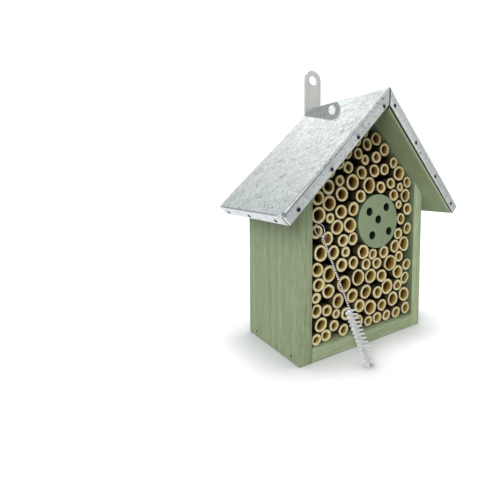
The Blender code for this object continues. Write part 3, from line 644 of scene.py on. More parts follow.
def brushed_zinc(name):
    """The strap's plated steel, drawn lengthwise."""
    material, place = start_material(name)
    lines = grains(stretched(place, (1, 1, 0.02)), 1300)
    tone = ramp(lines * 0.5 + grains(place, 60) * 0.6, 0.40, 0.72)
    colour = mix(tone, toned(STRAP_ZINC, 0.92), toned(STRAP_ZINC, 1.06))
    return dress(material, colour, lines * 0.2 + 0.32, 0.35, relief=lines, depth=STRAP_RELIEF)


def worn_steel(name, colour, metallic, roughness):
    """Small hardware: a dark or bright metal with a little wear."""
    material, place = start_material(name)
    wear_and_painted_light = grains(place, 1900)
    worn = mix(ramp(wear_and_painted_light, 0.45, 0.72), colour, toned(colour, 1.9))
    return dress(material, worn, wear_and_painted_light * 0.25 + roughness, metallic, 0.08, wear_and_painted_light, STEEL_RELIEF)


def twisted_steel(name):
    """The brush's wires: bright where they stand out, painted shade where they press together, and a
    darker painted tone on the loop.
    """
    material, place = start_material(name)
    wear_and_painted_light = grains(place, 1500, detail=2)
    painted_wire_light = read(place.tree, "painted_wire_light") + wear_and_painted_light * 0.2
    return dress(material, mix(ramp(painted_wire_light, 0.72, 1.10), WIRE_PAINTED_SHADE, WIRE_STEEL), wear_and_painted_light * 0.2 + 0.2, 0.8)


def bamboo(name):
    """Cane: a pale sawn end, a brown bore with painted shade that deepens inwards, and a dark dry skin
    with painted shade between the canes, deeper inwards; all darker towards the top, a painted shade
    under the roof.
    """
    material, place = start_material(name)
    names = ("end", "wall", "depth", "seed", "reach")
    end, wall, depth, seed, reach = (read(place.tree, item) for item in names)
    hue, blush = (
        add("ShaderNodeTexWhiteNoise", {"W": number}, noise_dimensions="1D")
        for number in (seed, seed + 0.5)
    )
    fibre = grains(stretched(place, (1, 0.03, 1)), 2300, detail=2)
    cloud = grains(place, 210)
    sawn = coated(
        mix(ramp(cloud, 0.35, 0.70), STRAW, STRAW_FRINGE),
        (ramp(fibre, 0.60, 0.70) * (wall * 0.5 + 0.15), STRAW_DARK),
        (ramp(wall, 0.86, 0.93) * 0.55, STRAW_FRINGE),
        (ramp(blush, 0.55, 1.0) * 0.5, STRAW_BLUSH),
        (hue * 0.28, STRAW_DARK),
    )
    deep = depth * reach
    pith = mix(ramp(grains(place, 900), 0.42, 0.62), PITH_DARK, PITH_PINK)
    # Painted shade in the bore, deepening inwards
    bore = coated(
        mix(ramp(cloud, 0.3, 0.7), BORE_BROWN, BORE_PALE),
        (ramp(deep, 0.01, 0.10), BORE_SHADE),
        (ramp(deep, 0.08, 0.30), BORE_DEEP_SHADE),
        ((1.0 - reach) * ramp(depth, 0.5, 0.9), pith),
    )
    # The skin, with painted shade deeper in between the canes
    skin = coated(
        mix(ramp(cloud + hue * 0.3, 0.4, 0.9), CANE_SKIN_DARK, CANE_SKIN),
        (ramp(depth, 0.0, 0.13), CANE_SKIN_SHADE),
    )
    colour = mix(end, mix(ramp(wall, 0.4, 0.6), bore, skin), sawn)
    # Painted shade under the roof: the canes are darker towards the top
    painted_shade_under_roof = ramp(axes(place)[2], BLOCK_LOW.z, RIDGE_Z) * 0.5
    colour = mix(painted_shade_under_roof, colour, BORE_BROWN, "MULTIPLY")
    return dress(material, colour, fibre * 0.2 + 0.5, 0.0, 0.3, fibre + cloud * 0.6, BAMBOO_RELIEF)


def clear_nylon(name):
    """The filaments: milky, with a slightly uneven tone."""
    material, place = start_material(name)
    cloud = grains(place, 420, detail=2)
    return dress(material, mix(ramp(cloud, 0.35, 0.65), toned(NYLON, 0.86), NYLON), cloud * 0.2 + 0.28)


def link(name, data):
    """A new object with that mesh, curve, lamp or camera, at the origin."""
    piece = bpy.data.objects.new(name, data)
    bpy.context.scene.collection.objects.link(piece)
    return piece


def smoothed(mesh, sharp=40):
    """The mesh shaded smooth, with edges sharper than that many degrees kept sharp."""
    mesh.shade_smooth()
    mesh.set_sharp_from_angle(angle=radians(sharp))
    return mesh


def mesh_of(shape, sharp=40):
    """A smooth mesh from a bmesh."""
    mesh = bpy.data.meshes.new("shape")
    shape.to_mesh(mesh)
    shape.free()
    return smoothed(mesh, sharp)


def evaluated(piece):
    """The piece's mesh with its modifiers, as a plain mesh. The piece is removed."""
    bpy.context.view_layer.update()
    graph = bpy.context.evaluated_depsgraph_get()
    mesh = bpy.data.meshes.new_from_object(
        piece.evaluated_get(graph), preserve_all_data_layers=True, depsgraph=graph
    )
    bpy.data.objects.remove(piece)
    return mesh


def finish_piece(name, mesh, material, replaced, body="house"):
    """A finished piece: its material, the body it rides on and the nodes it stands for."""
    mesh.materials.clear()
    mesh.materials.append(material)
    piece = link(name, mesh)
    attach(piece, body)
    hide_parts(*replaced)


def nodes_named(prefix):
    """The names of the CAD nodes that start so."""
    return sorted(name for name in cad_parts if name.startswith(prefix))


def circle(count):
    """Points round a unit circle."""
    turns = [2 * pi * number / count for number in range(count)]
    return [(cos(turn), sin(turn)) for turn in turns]


def ring_faces(rings, count):
    """The corners of the faces between rings of that many points. A ring of one point is a pole."""
    for one, other in zip(rings, rings[1:]):
        for number in range(count):
            following = (number + 1) % count
            corners = [one[number % len(one)], one[following % len(one)]]
            corners += [other[following % len(other)], other[number % len(other)]]
            yield tuple(dict.fromkeys(corners))


def turned(profile, sides=TURNED_SIDES):
    """A bmesh turned about Z from (radius, height) points that start and end on the axis."""
    shape = bmesh.new()
    rings = [
        [shape.verts.new((radius * c, radius * s, height)) for c, s in circle(sides if radius else 1)]
        for radius, height in profile
    ]
    for corners in ring_faces(rings, sides):
        shape.faces.new(corners)
    bmesh.ops.recalc_face_normals(shape, faces=shape.faces)
    return shape


def curve_shape(routes, closed, gap, **settings):
    """A bmesh of a curve along those routes, with points closer than the gap made one."""
    curve = set_up(bpy.data.curves.new("curve", "CURVE"), **settings)
    for route in routes:
        spline = curve.splines.new("POLY")
        spline.points.add(len(route) - 1)
        for point, place in zip(spline.points, route):
            point.co = (*place, 1)
        spline.use_cyclic_u = closed
    shape = bmesh.new()
    shape.from_mesh(evaluated(link("curve", curve)))
    bmesh.ops.remove_doubles(shape, verts=shape.verts, dist=gap)
    bmesh.ops.recalc_face_normals(shape, faces=shape.faces)
    return shape


def cut_out(body, tool, sharp, overlaps):
    """The smooth mesh of a body that another shape, which may overlap itself, is cut out of."""
    piece, cutter = link("body", mesh_of(body)), link("tool", mesh_of(tool))
    modifier = piece.modifiers.new("cut", "BOOLEAN")
    set_up(modifier, operation="DIFFERENCE", object=cutter, use_self=overlaps)
    mesh = evaluated(piece)
    bpy.data.objects.remove(cutter)
    return smoothed(mesh, sharp)


def slice_across(shape, normal, distances):
    """Adds edges where planes cross the shape, at those distances along the normal."""
    normal = Vector(normal)
    for distance in distances:
        everything = [*shape.verts, *shape.edges, *shape.faces]
        bmesh.ops.bisect_plane(shape, geom=everything, plane_co=normal * distance, plane_no=normal)


def steps_between(low, high, spacing):
    """Even steps inside a stretch, about that far apart."""
    count = max(1, round((high - low) / spacing))
    return [low + (high - low) * number / count for number in range(1, count)]


def on_roof(side, along, under):
    """The (x, z) point that far down the slope from the ridge and that far under the sheet."""
    across = along * cos(ROOF_PITCH) - under * sin(ROOF_PITCH)
    drop = along * sin(ROOF_PITCH) + under * cos(ROOF_PITCH)
    return side * across, RIDGE_Z - drop


def at_mitre(side, inset, under):
    """The (x, z) point under the sheet that lies that far from the middle of the ridge."""
    along = (inset + under * sin(ROOF_PITCH)) / cos(ROOF_PITCH)
    return on_roof(side, along, under)


def off_roof(point):
    """Side, distance down the slope and depth under the sheet of a point."""
    side = -1 if point.x < 0 else 1
    across, drop = side * point.x, RIDGE_Z - point.z
    along = across * cos(ROOF_PITCH) + drop * sin(ROOF_PITCH)
    return side, along, drop * cos(ROOF_PITCH) - across * sin(ROOF_PITCH)


def slope_ways(side):
    """The directions down one slope and square to it."""
    down = Vector((side * cos(ROOF_PITCH), 0, -sin(ROOF_PITCH)))
    square = Vector((side * sin(ROOF_PITCH), 0, cos(ROOF_PITCH)))
    return down, square


def make_board(outline, low_y, high_y, seed):
    """A board from an (x, z) outline: rounded edges, and faces that are never quite flat."""
    shape = bmesh.new()
    face = shape.faces.new([shape.verts.new((x, low_y, z)) for x, z in outline])
    raised = bmesh.ops.extrude_face_region(shape, geom=[face])["geom"]
    moved = [item for item in raised if isinstance(item, bmesh.types.BMVert)]
    bmesh.ops.translate(shape, verts=moved, vec=(0, high_y - low_y, 0))
    bmesh.ops.recalc_face_normals(shape, faces=shape.faces)
    bmesh.ops.bevel(
        shape, geom=list(shape.edges), offset=EDGE_ROUND, segments=EDGE_STEPS, profile=0.5,
        affect="EDGES",
    )
    xs, zs = zip(*outline)
    slice_across(shape, (1, 0, 0), steps_between(min(xs), max(xs), TIMBER_CELL))
    slice_across(shape, (0, 1, 0), steps_between(low_y, high_y, TIMBER_CELL))
    slice_across(shape, (0, 0, 1), steps_between(min(zs), max(zs), TIMBER_CELL))
    shape.normal_update()
    shift = Vector((seed, 2.0 * seed, 3.0 * seed))
    moves = [
        vert.normal * TIMBER_UNEVEN * (noise.noise(vert.co / TIMBER_UNEVEN_LENGTH + shift) - 1) / 2
        for vert in shape.verts
    ]
    for vert, move in zip(shape.verts, moves):
        vert.co += move
    return mesh_of(shape, 30)


def make_timber():
    """The walls, the floor board, the back panel and the two roof boards."""
    upright, across = (0, 0, 0), (0, pi / 2, 0)

    def under_roof(x):
        """The (x, z) point that far from the middle, close under the roof boards."""
        return x, RIDGE_Z - BOARD_UNDER / cos(ROOF_PITCH) - abs(x) - WALL_GAP

    def board(name, node, outline, low_y, high_y, seed, finish):
        """One board, its piece and its stain, in place of a node."""
        mesh = make_board(outline, low_y, high_y, seed)
        finish_piece(name, mesh, painted_timber(f"stained_{node}", *finish), [node])

    for name, side in SIDES.items():
        low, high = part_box(f"{name}_wall")
        outer, inner = (low.x, high.x) if side < 0 else (high.x, low.x)
        outline = ((outer, 0), (inner, 0), under_roof(inner), under_roof(outer))
        # The right wall's stain is made paler, a painted light
        finish = (upright, (0.1 * side, 0.2, 0.3), 1.0 if side < 0 else RIGHT_WALL_PAINTED_LIGHT)
        board(f"{name}_wall_timber", f"{name}_wall", outline, low.y, high.y, 3 + side, finish)
    low, high = FLOOR_LOW, FLOOR_HIGH
    outline = ((low.x, low.z), (high.x, low.z), (high.x, high.z), (low.x, high.z))
    # The floor board's stain is made paler, a painted light
    finish = (across, (0.4, 0.1, 0.2), FLOOR_BOARD_PAINTED_LIGHT)
    board("floor_timber", "floor_board", outline, low.y, high.y, 7, finish)
    low, high = BACK_LOW, BACK_HIGH
    outline = ((low.x, low.z), (high.x, low.z), under_roof(high.x), under_roof(0), under_roof(low.x))
    board("back_timber", "back_panel", outline, low.y, high.y, 9, (upright, (0.5, 0.3, 0.1)))
    eave = ROOF_SLOPE - BOARD_EAVE_GAP
    front, back = ROOF_FRONT_Y + BOARD_FRONT_GAP, ROOF_BACK_Y - BOARD_FRONT_GAP
    for name, side in SIDES.items():
        outline = (
            at_mitre(side, BOARD_MITRE_GAP, BOARD_TOP), on_roof(side, eave, BOARD_TOP),
            on_roof(side, eave, BOARD_UNDER), at_mitre(side, BOARD_MITRE_GAP, BOARD_UNDER),
        )
        turn, shift = (0, side * ROOF_PITCH, 0), (0.2 * side, 0.6, 0.4)
        # The roof boards' stain is made paler, a painted light
        finish = (turn, shift, ROOF_BOARD_PAINTED_LIGHT, ROOF_BOARD_CONTRAST, True)
        board(
            f"{name}_roof_timber", f"{name}_roof_board", outline, front, back, 12 + side, finish,
        )


def lip_nail_places():
    """Each nail's place on the sheet's lips, and the way that it was driven."""
    places = []
    for name, side in SIDES.items():
        for share in FRONT_NAIL_SHARES[name]:
            x, z = on_roof(side, share * ROOF_SLOPE, FRONT_NAIL_DROPS[name])
            places.append((Vector((x, ROOF_FRONT_Y, z)), Vector((0, 1, 0))))
        x, z = on_roof(side, ROOF_SLOPE, LIP_NAIL_DROP)
        for share in EAVE_NAIL_SHARES:
            y = ROOF_FRONT_Y + share * (ROOF_BACK_Y - ROOF_FRONT_Y)
            places.append((Vector((x, y, z)), -slope_ways(side)[0]))
    return places


def sheet_skin():
    """The sheet's outer face before it is dressed: two slopes and six lips, as flat faces."""
    shape = bmesh.new()

    def face(*corners):
        shape.faces.new([shape.verts.new((x, y, z)) for (x, z), y in corners])

    front, back = ROOF_FRONT_Y, ROOF_BACK_Y
    for side in SIDES.values():
        ridge, eave = on_roof(side, 0, 0), on_roof(side, ROOF_SLOPE, 0)
        eave_low, ridge_low = on_roof(side, ROOF_SLOPE, LIP_DEPTH), at_mitre(side, 0, LIP_DEPTH)
        face((ridge, front), (eave, front), (eave, back), (ridge, back))
        face((eave, front), (eave_low, front), (eave_low, back), (eave, back))
        for y in (front, back):
            face((ridge, y), (ridge_low, y), (eave_low, y), (eave, y))
    bmesh.ops.remove_doubles(shape, verts=shape.verts, dist=FLAP_EDGE / 2)
    bmesh.ops.recalc_face_normals(shape, faces=shape.faces)
    inner = [edge for edge in shape.edges if len(edge.link_faces) == 2]
    folds = [edge for edge in inner if edge.calc_face_angle() > FOLD_LEAST]
    bmesh.ops.bevel(
        shape, geom=folds, offset=FOLD_RADIUS, segments=FOLD_STEPS, profile=0.5, affect="EDGES"
    )
    return shape


def slit_ridge(shape):
    """Opens both end lips under the ridge, where the sheet was bent."""
    half, reach = LIP_SLIT / 2, FOLD_RADIUS * 1.05
    slice_across(shape, (1, 0, 0), (-half, half))
    slice_across(shape, (0, 1, 0), (ROOF_FRONT_Y + reach, ROOF_BACK_Y - reach))
    gone = []
    for face in shape.faces:
        middle = face.calc_center_median()
        if abs(middle.x) < half and not ROOF_FRONT_Y + reach < middle.y < ROOF_BACK_Y - reach:
            gone.append(face)
    bmesh.ops.delete(shape, geom=gone, context="FACES")


def slice_sheet(shape, nails):
    """Adds the edges that the sheet's dents and waves need, closer together round the nails."""
    cuts = [share * DIMPLE_RADIUS for share in DIMPLE_CUT_SHARES]
    ys = steps_between(ROOF_FRONT_Y, ROOF_BACK_Y, SHEET_CELL)
    ys += [place.y + cut for place, way in nails if way.y == 0 for cut in cuts]
    for end, inwards in ((ROOF_FRONT_Y, 1), (ROOF_BACK_Y, -1)):
        ys += [end + inwards * FLAP_WIDTH, end + inwards * (FLAP_WIDTH + FLAP_EDGE)]
    slice_across(shape, (0, 1, 0), sorted(set(ys)))
    ridge = Vector((0, 0, RIDGE_Z))
    for side in SIDES.values():
        down, square = slope_ways(side)
        alongs = steps_between(0, ROOF_SLOPE, SHEET_CELL)
        for place, way in nails:
            nail_side, along, _ = off_roof(place)
            if nail_side == side and way.y != 0:
                alongs += [along + cut for cut in cuts]
        slice_across(shape, down, [ridge.dot(down) + along for along in sorted(alongs)])
        unders = steps_between(FOLD_RADIUS, LIP_DEPTH, LIP_CELL)
        slice_across(shape, square, [ridge.dot(square) - under for under in unders])


def eased(value):
    """0 to 1 with eased ends."""
    value = min(max(value, 0.0), 1.0)
    return value * value * (3 - 2 * value)


def sheet_move(point, nails):
    """How far a point of the outer skin is pushed in by waves, nails, the crease and the flap."""
    side, along, under = off_roof(point)
    down, square = slope_ways(side)
    from_front, from_back, to_eave = point.y - ROOF_FRONT_Y, ROOF_BACK_Y - point.y, ROOF_SLOPE - along
    flat = Vector((side * along, point.y, 0)) / SHEET_WAVE_LENGTH

    def wave(fineness):
        """A soft unevenness, from nothing to the sheet's wave."""
        return SHEET_WAVE * (noise.noise(flat * fineness) + 1) / 2

    from_edge = min(from_front, from_back, to_eave, along)
    move = -square * wave(1.0) * eased(from_edge / SHEET_CALM_EDGE)
    if from_front < FOLD_RADIUS * 1.5:
        move.y += 0.6 * wave(2.2) * eased(under / LIP_DEPTH)
    if to_eave < FOLD_RADIUS * 1.5:
        off_flaps = eased((min(from_front, from_back) - FLAP_WIDTH) / FLAP_EDGE)
        step = FLAP_STEP * off_flaps * eased(under / FOLD_RADIUS)
        move -= down * (wave(2.0) * eased(under / LIP_DEPTH) + step)
    lift = eased(1 - from_front / RIDGE_LIFT_REACH) * eased(1 - along / RIDGE_LIFT_REACH)
    move.z += RIDGE_LIFT * lift
    for place, way in nails:
        distance = (point - place).length
        if distance < DIMPLE_RADIUS and abs((point - place).dot(way)) < FOLD_RADIUS:
            move += way * DIMPLE_DEPTH * eased(1 - distance / DIMPLE_RADIUS)
    if side < 0 and under < FOLD_RADIUS:
        reach = CREASE_WIDTH * eased(1 - from_back / (ROOF_BACK_Y - ROOF_FRONT_Y))
        climb = CREASE_WIDTH * 0.7 * eased(1 - to_eave / CREASE_START)
        strip = max(reach - to_eave, climb - from_front, 0)
        move -= square * CREASE_DROP * min(strip / CREASE_WIDTH, 1) * eased(1 - under / FOLD_RADIUS)
    return move


def make_sheet():
    """One galvanised sheet over both boards: rounded folds, dents at the nails, a lapped corner."""
    nails = lip_nail_places()
    shape = sheet_skin()
    slit_ridge(shape)
    slice_sheet(shape, nails)
    unrolled = shape.verts.layers.float_vector.new("unrolled")
    edges = shape.verts.layers.float_vector.new("edges")
    from_ridge = shape.verts.layers.float.new("from_ridge")
    painted_nail_shade = shape.verts.layers.float.new("painted_nail_shade")
    moves = [sheet_move(vert.co, nails) for vert in shape.verts]
    for vert, move in zip(shape.verts, moves):
        side, along, under = off_roof(vert.co)
        to_end = min(vert.co.y - ROOF_FRONT_Y, ROOF_BACK_Y - vert.co.y)
        fold_out = Vector((0, under)) if to_end < FOLD_RADIUS else Vector((under, 0))
        vert[unrolled] = Vector((side * (along + fold_out.x), vert.co.y + fold_out.y, 0))
        vert[edges] = Vector((ROOF_SLOPE - along, to_end, under))
        vert[from_ridge] = vert.co.x
        # A painted shade ring round each nail head, which the material reads
        nearest = min((vert.co - place).length for place, _ in nails)
        vert[painted_nail_shade] = eased(1 - (nearest - NAIL_HEAD / 2) / (NAIL_HEAD / 4))
        vert.co += move
    skin = link("skin", mesh_of(shape, 50))
    wall = skin.modifiers.new("thickness", "SOLIDIFY")
    set_up(wall, thickness=SHEET_THICKNESS, offset=-1, use_even_offset=False)
    material = galvanised("spangled_zinc")
    finish_piece("roof_sheeting", evaluated(skin), material, ["roof_sheet"])


def start_tree(name, **kinds):
    """A new geometry tree's own inputs: a guide, a piece to copy, a finish and the sizes named."""
    tree = bpy.data.node_groups.new(name, "GeometryNodeTree")
    kinds = {"Geometry": "Geometry", "Piece": "Object", "Finish": "Material", **kinds}
    for title, kind in kinds.items():
        tree.interface.new_socket(title, in_out="INPUT", socket_type=f"NodeSocket{kind}")
    tree.interface.new_socket("Geometry", in_out="OUTPUT", socket_type="NodeSocketGeometry")
    return add("NodeGroupInput", tree=tree)


def real_copies(inputs, points, **placing):
    """A real copy of the tree's piece at each point, with a rotation and scale where given."""
    piece = add("GeometryNodeObjectInfo", {"Object": inputs["Piece"]})["Geometry"]
    placed = add("GeometryNodeInstanceOnPoints", {"Points": points, "Instance": piece, **placing})
    return add("GeometryNodeRealizeInstances", {"Geometry": placed})


def end_tree(inputs, geometry):
    """The finished tree, which puts the geometry out with its finish on."""
    done = add("GeometryNodeSetMaterial", {"Geometry": geometry, "Material": inputs["Finish"]})
    feed(inputs.tree.nodes.new("NodeGroupOutput"), {0: done})
    return inputs.tree


def carried(tree, name, kind="FLOAT"):
    """A value that the points of a geometry tree's guide or piece carry."""
    return add("GeometryNodeInputNamedAttribute", {"Name": name}, tree, data_type=kind)


def run_tree(tree, guide_mesh, piece_mesh, finish, **sizes):
    """The plain mesh that a tree makes from its guide and its piece, at those sizes."""
    piece, guide = link("piece", piece_mesh), link("guide", guide_mesh)
    values = {"Piece": piece, "Finish": finish, **sizes}
    modifier = guide.modifiers.new("tree", "NODES")
    modifier.node_group = tree
    for item in tree.interface.items_tree:
        if item.in_out == "INPUT" and item.name in values:
            modifier[item.identifier] = values[item.name]
    mesh = evaluated(guide)
    bpy.data.objects.remove(piece)
    return mesh


def carry(mesh, **lists):
    """The mesh, with every point given its number or vector from each list."""
    for name, values in lists.items():
        values = np.asarray(values, np.float32)
        kind, key = ("FLOAT", "value") if values.ndim == 1 else ("FLOAT_VECTOR", "vector")
        mesh.attributes.new(name, kind, "POINT").data.foreach_set(key, values.ravel())
    return mesh


def plain_mesh(points, faces=()):
    """A mesh of those points and faces."""
    mesh = bpy.data.meshes.new("plain")
    mesh.from_pydata([tuple(point) for point in points], [], list(faces))
    return mesh


def set_out_tree():
    """Copies of one piece at the guide's points, each with its Z axis along the point's aim."""
    inputs = start_tree("set_out")
    aim = carried(inputs.tree, "aim", "FLOAT_VECTOR")
    turn = add("FunctionNodeAlignRotationToVector", {"Vector": aim}, axis="Z")
    return end_tree(inputs, real_copies(inputs, inputs["Geometry"], Rotation=turn))


def fastener(head, rise, shank, length):
    """A round-headed nail, driven down from height 0."""
    turns = [pi / 2 * number / DOME_STEPS for number in range(DOME_STEPS + 1)]
    dome = [(head / 2 * sin(turn), rise * cos(turn)) for turn in turns]
    return turned((
        *dome, (head / 2, -0.1 * rise), (shank / 2, -0.15 * rise),
        (shank / 2, shank - length), (0, -length),
    ))


def screw_mesh():
    """A round-head screw with a cross recess."""
    cross = bmesh.new()
    for lengths in ((RECESS_LENGTH, RECESS_WIDTH), (RECESS_WIDTH, RECESS_LENGTH)):
        size = Matrix.Diagonal((*lengths, 2 * RECESS_DEPTH, 1))
        bmesh.ops.create_cube(cross, size=1, matrix=Matrix.Translation((0, 0, SCREW_DOME)) @ size)
    return cut_out(fastener(SCREW_HEAD, SCREW_DOME, SCREW_SHANK, SCREW_LENGTH), cross, 40, True)


def make_fasteners():
    """The nails in the lips, the brads in the walls and the strap's two screws."""
    tree = set_out_tree()

    def set_out(name, unit, places, material, replaced):
        """One piece of many equal fasteners, each at a place and driven one way."""
        seats, ways = zip(*places)
        guide = carry(plain_mesh(seats), aim=[-way for way in ways])
        mesh = smoothed(run_tree(tree, guide, unit, material))
        finish_piece(name, mesh, material, replaced)

    def middles(prefix):
        """The middles of the CAD nodes that start so."""
        return [sum(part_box(name), Vector()) / 2 for name in nodes_named(prefix)]

    black = worn_steel("blackened_steel", NAIL_AND_PAINTED_SHADOW_BLACK, 0.0, 0.35)
    nail = mesh_of(fastener(NAIL_HEAD, NAIL_DOME, NAIL_SHANK, NAIL_LENGTH))
    places = [(place + way * DIMPLE_DEPTH * 0.9, way) for place, way in lip_nail_places()]
    set_out("lip_nails", nail, places, black, nodes_named("front_nail") + nodes_named("eave_nail"))
    brad = mesh_of(fastener(BRAD_HEAD, NAIL_DOME / 3, NAIL_SHANK * 0.8, BRAD_LENGTH))
    places = []
    for middle in middles("wall_nail"):
        side = -1 if middle.x < 0 else 1
        places.append((Vector((side * HALF_WIDTH, middle.y, middle.z)), Vector((-side, 0, 0))))
    set_out("wall_brads", brad, places, black, nodes_named("wall_nail"))
    steel = worn_steel("screw_steel", SCREW_STEEL, 0.8, 0.25)
    places = [(Vector((at.x, TAB_HIGH.y, at.z)), Vector((0, -1, 0))) for at in middles("tab_screw")]
    set_out("strap_screws", screw_mesh(), places, steel, nodes_named("tab_screw"))


def make_strap():
    """The hanging strap: a round-topped plate with its hole and softened edges."""
    half = (TAB_HIGH.x - TAB_LOW.x) / 2
    eye = TAB_HIGH.z - half
    turns = [pi * number / STRAP_ARC_STEPS for number in range(STRAP_ARC_STEPS + 1)]
    outline = [(-half, TAB_LOW.z, 0), (half, TAB_LOW.z, 0)]
    outline += [(half * cos(turn), eye + half * sin(turn), 0) for turn in turns]
    reach = STRAP_HOLE_WIDTH / 2
    hole = [(reach * c, eye + reach * s, 0) for c, s in circle(STRAP_ARC_STEPS)]
    half_thick = (TAB_HIGH.y - TAB_LOW.y) / 2
    shape = curve_shape(
        (outline, hole), True, STRAP_EDGE / 20, dimensions="2D", fill_mode="BOTH",
        extrude=half_thick - STRAP_EDGE, bevel_depth=STRAP_EDGE, bevel_resolution=2, offset=-STRAP_EDGE,
    )
    middle = Matrix.Translation((0, (TAB_LOW.y + TAB_HIGH.y) / 2, 0))
    upright = middle @ Matrix.Rotation(pi / 2, 4, "X")
    bmesh.ops.transform(shape, matrix=upright, verts=shape.verts)
    material = brushed_zinc("plated_strap")
    finish_piece("strap_plate", mesh_of(shape, 50), material, ["hanging_tab"])


def make_block():
    """The round block: a softened rim and five drilled holes with pointed ends."""
    length = BLOCK_HIGH.y - BLOCK_LOW.y

    def backwards(profile, sides, across=0.0, up=0.0):
        """A turned shape that runs back from the block's face, that far from its centre."""
        shape = turned(profile, sides)
        x, z = BLOCK_CENTRE.x + across * BLOCK_RADIUS, BLOCK_CENTRE.z + up * BLOCK_RADIUS
        place = Matrix.Translation((x, BLOCK_LOW.y, z)) @ Matrix.Rotation(-pi / 2, 4, "X")
        bmesh.ops.transform(shape, matrix=place, verts=shape.verts)
        return shape

    turns = [pi / 2 * number / BLOCK_EDGE_STEPS for number in range(BLOCK_EDGE_STEPS + 1)]
    inner = BLOCK_RADIUS - BLOCK_EDGE
    rim = [(inner + BLOCK_EDGE * sin(turn), BLOCK_EDGE * (1 - cos(turn))) for turn in turns]
    profile = ((0, 0), *rim, (BLOCK_RADIUS, length - BLOCK_EDGE), (inner, length), (0, length))
    body = backwards(profile, BLOCK_SIDES)
    half = BLOCK_HOLE_WIDTH / 2
    mouth = half * HOLE_MOUTH_SHARE
    profile = (
        (0, -BLOCK_EDGE), (mouth, -BLOCK_EDGE), (mouth, 0), (half, BLOCK_EDGE / 2),
        (half, BLOCK_HOLE_DEPTH), (0, BLOCK_HOLE_DEPTH + half),
    )
    drill = bmesh.new()
    for across, up in BLOCK_HOLE_SHARES:
        drill.from_mesh(mesh_of(backwards(profile, BLOCK_HOLE_SIDES, across, up)))
    mesh = cut_out(body, drill, 35, False)
    material = painted_end_grain("painted_block_wood")
    finish_piece("nesting_block", mesh, material, ["drilled_block"])


def read_canes():
    """Centre, outer radius, bore radius and front of every cane, from the bundles of the frame."""
    canes = []
    for name in nodes_named("tube_bundle"):
        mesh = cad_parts[name].data
        points = np.empty(len(mesh.vertices) * 3, np.float32)
        mesh.vertices.foreach_get("co", points)
        points = points.reshape(-1, 3).astype(float)
        ends = points[points[:, 1] < WALL_LOW.y + (WALL_HIGH.y - WALL_LOW.y) / 10]
        for level in np.unique(np.round(ends[:, 1], 5)):
            near = np.abs(ends[:, 1] - level) < TUBE_RING_MATCH
            ring = np.unique(np.round(ends[near][:, (0, 2)], 6), axis=0)
            if len(ring) < TUBE_RING_LEAST:
                continue
            centre = (ring.max(axis=0) + ring.min(axis=0)) / 2
            reach = np.hypot(*(ring - centre).T)
            canes.append((centre[0], centre[1], reach.max(), reach.min(), level))
    return np.array(canes)


def cane_mesh():
    """A cane of unit size whose points carry what the tree needs to shape each copy."""
    rings, ways, shares = [], [], []
    for ring in CANE_RING_SHARES:
        around = circle(CANE_SEGMENTS if ring[0] else 1)
        rings.append(range(len(ways), len(ways) + len(around)))
        ways += [(c, 0.0, s) for c, s in around]
        shares += [ring] * len(around)
    hollow, wall, depth, end = zip(*shares)
    mesh = plain_mesh(ways, ring_faces(rings, CANE_SEGMENTS))
    return carry(mesh, way=ways, hollow=hollow, wall=wall, depth=depth, end=end)


def canes_tree():
    """Shapes a copy of the unit cane at each point: its own width, bore, outline and sawn end."""
    inputs = start_tree("canes", Back="Float", Unevenness="Float", Bore="Float", Raggedness="Float")
    names = ("hollow", "wall", "depth", "seed", "reach", "outer", "bore", "front")
    hollow, wall, depth, seed, reach, outer, bore, front = (carried(inputs.tree, name) for name in names)
    names = ("way", "tilt", "centre")
    way, tilt, centre = (carried(inputs.tree, name, "FLOAT_VECTOR") for name in names)

    def outline_noise(scale, shift):
        """A noise round the cane, of its own for each, about 0 to 1."""
        noise_inputs = {"Vector": way * scale, "W": seed * 7.3 + shift, "Scale": 1.0, "Detail": 0.5}
        return ramp(add("ShaderNodeTexNoise", noise_inputs, noise_dimensions="4D"), 0.25, 0.75)

    outer *= 1.0 - outline_noise(0.62, 0.0) * inputs["Unevenness"]
    bore *= (outline_noise(0.7, 3.1) - 0.5) * inputs["Bore"] + 1.0
    arm = way * ((wall * (outer - bore) + bore) * hollow)
    tilted = calc("DOT_PRODUCT", arm, tilt)["Value"]
    front += tilted + outline_noise(2.6, 8.7) * inputs["Raggedness"]
    back_share = depth * (wall * (1.0 - reach) + reach)
    along = back_share * (inputs["Back"] - front) + front
    place = arm + centre + add("ShaderNodeCombineXYZ", {"Y": along})
    canes = real_copies(inputs, inputs["Geometry"])
    shaped = add("GeometryNodeSetPosition", {"Geometry": canes, "Position": place})
    return end_tree(inputs, add("GeometryNodeSetShadeSmooth", {"Geometry": shaped}))


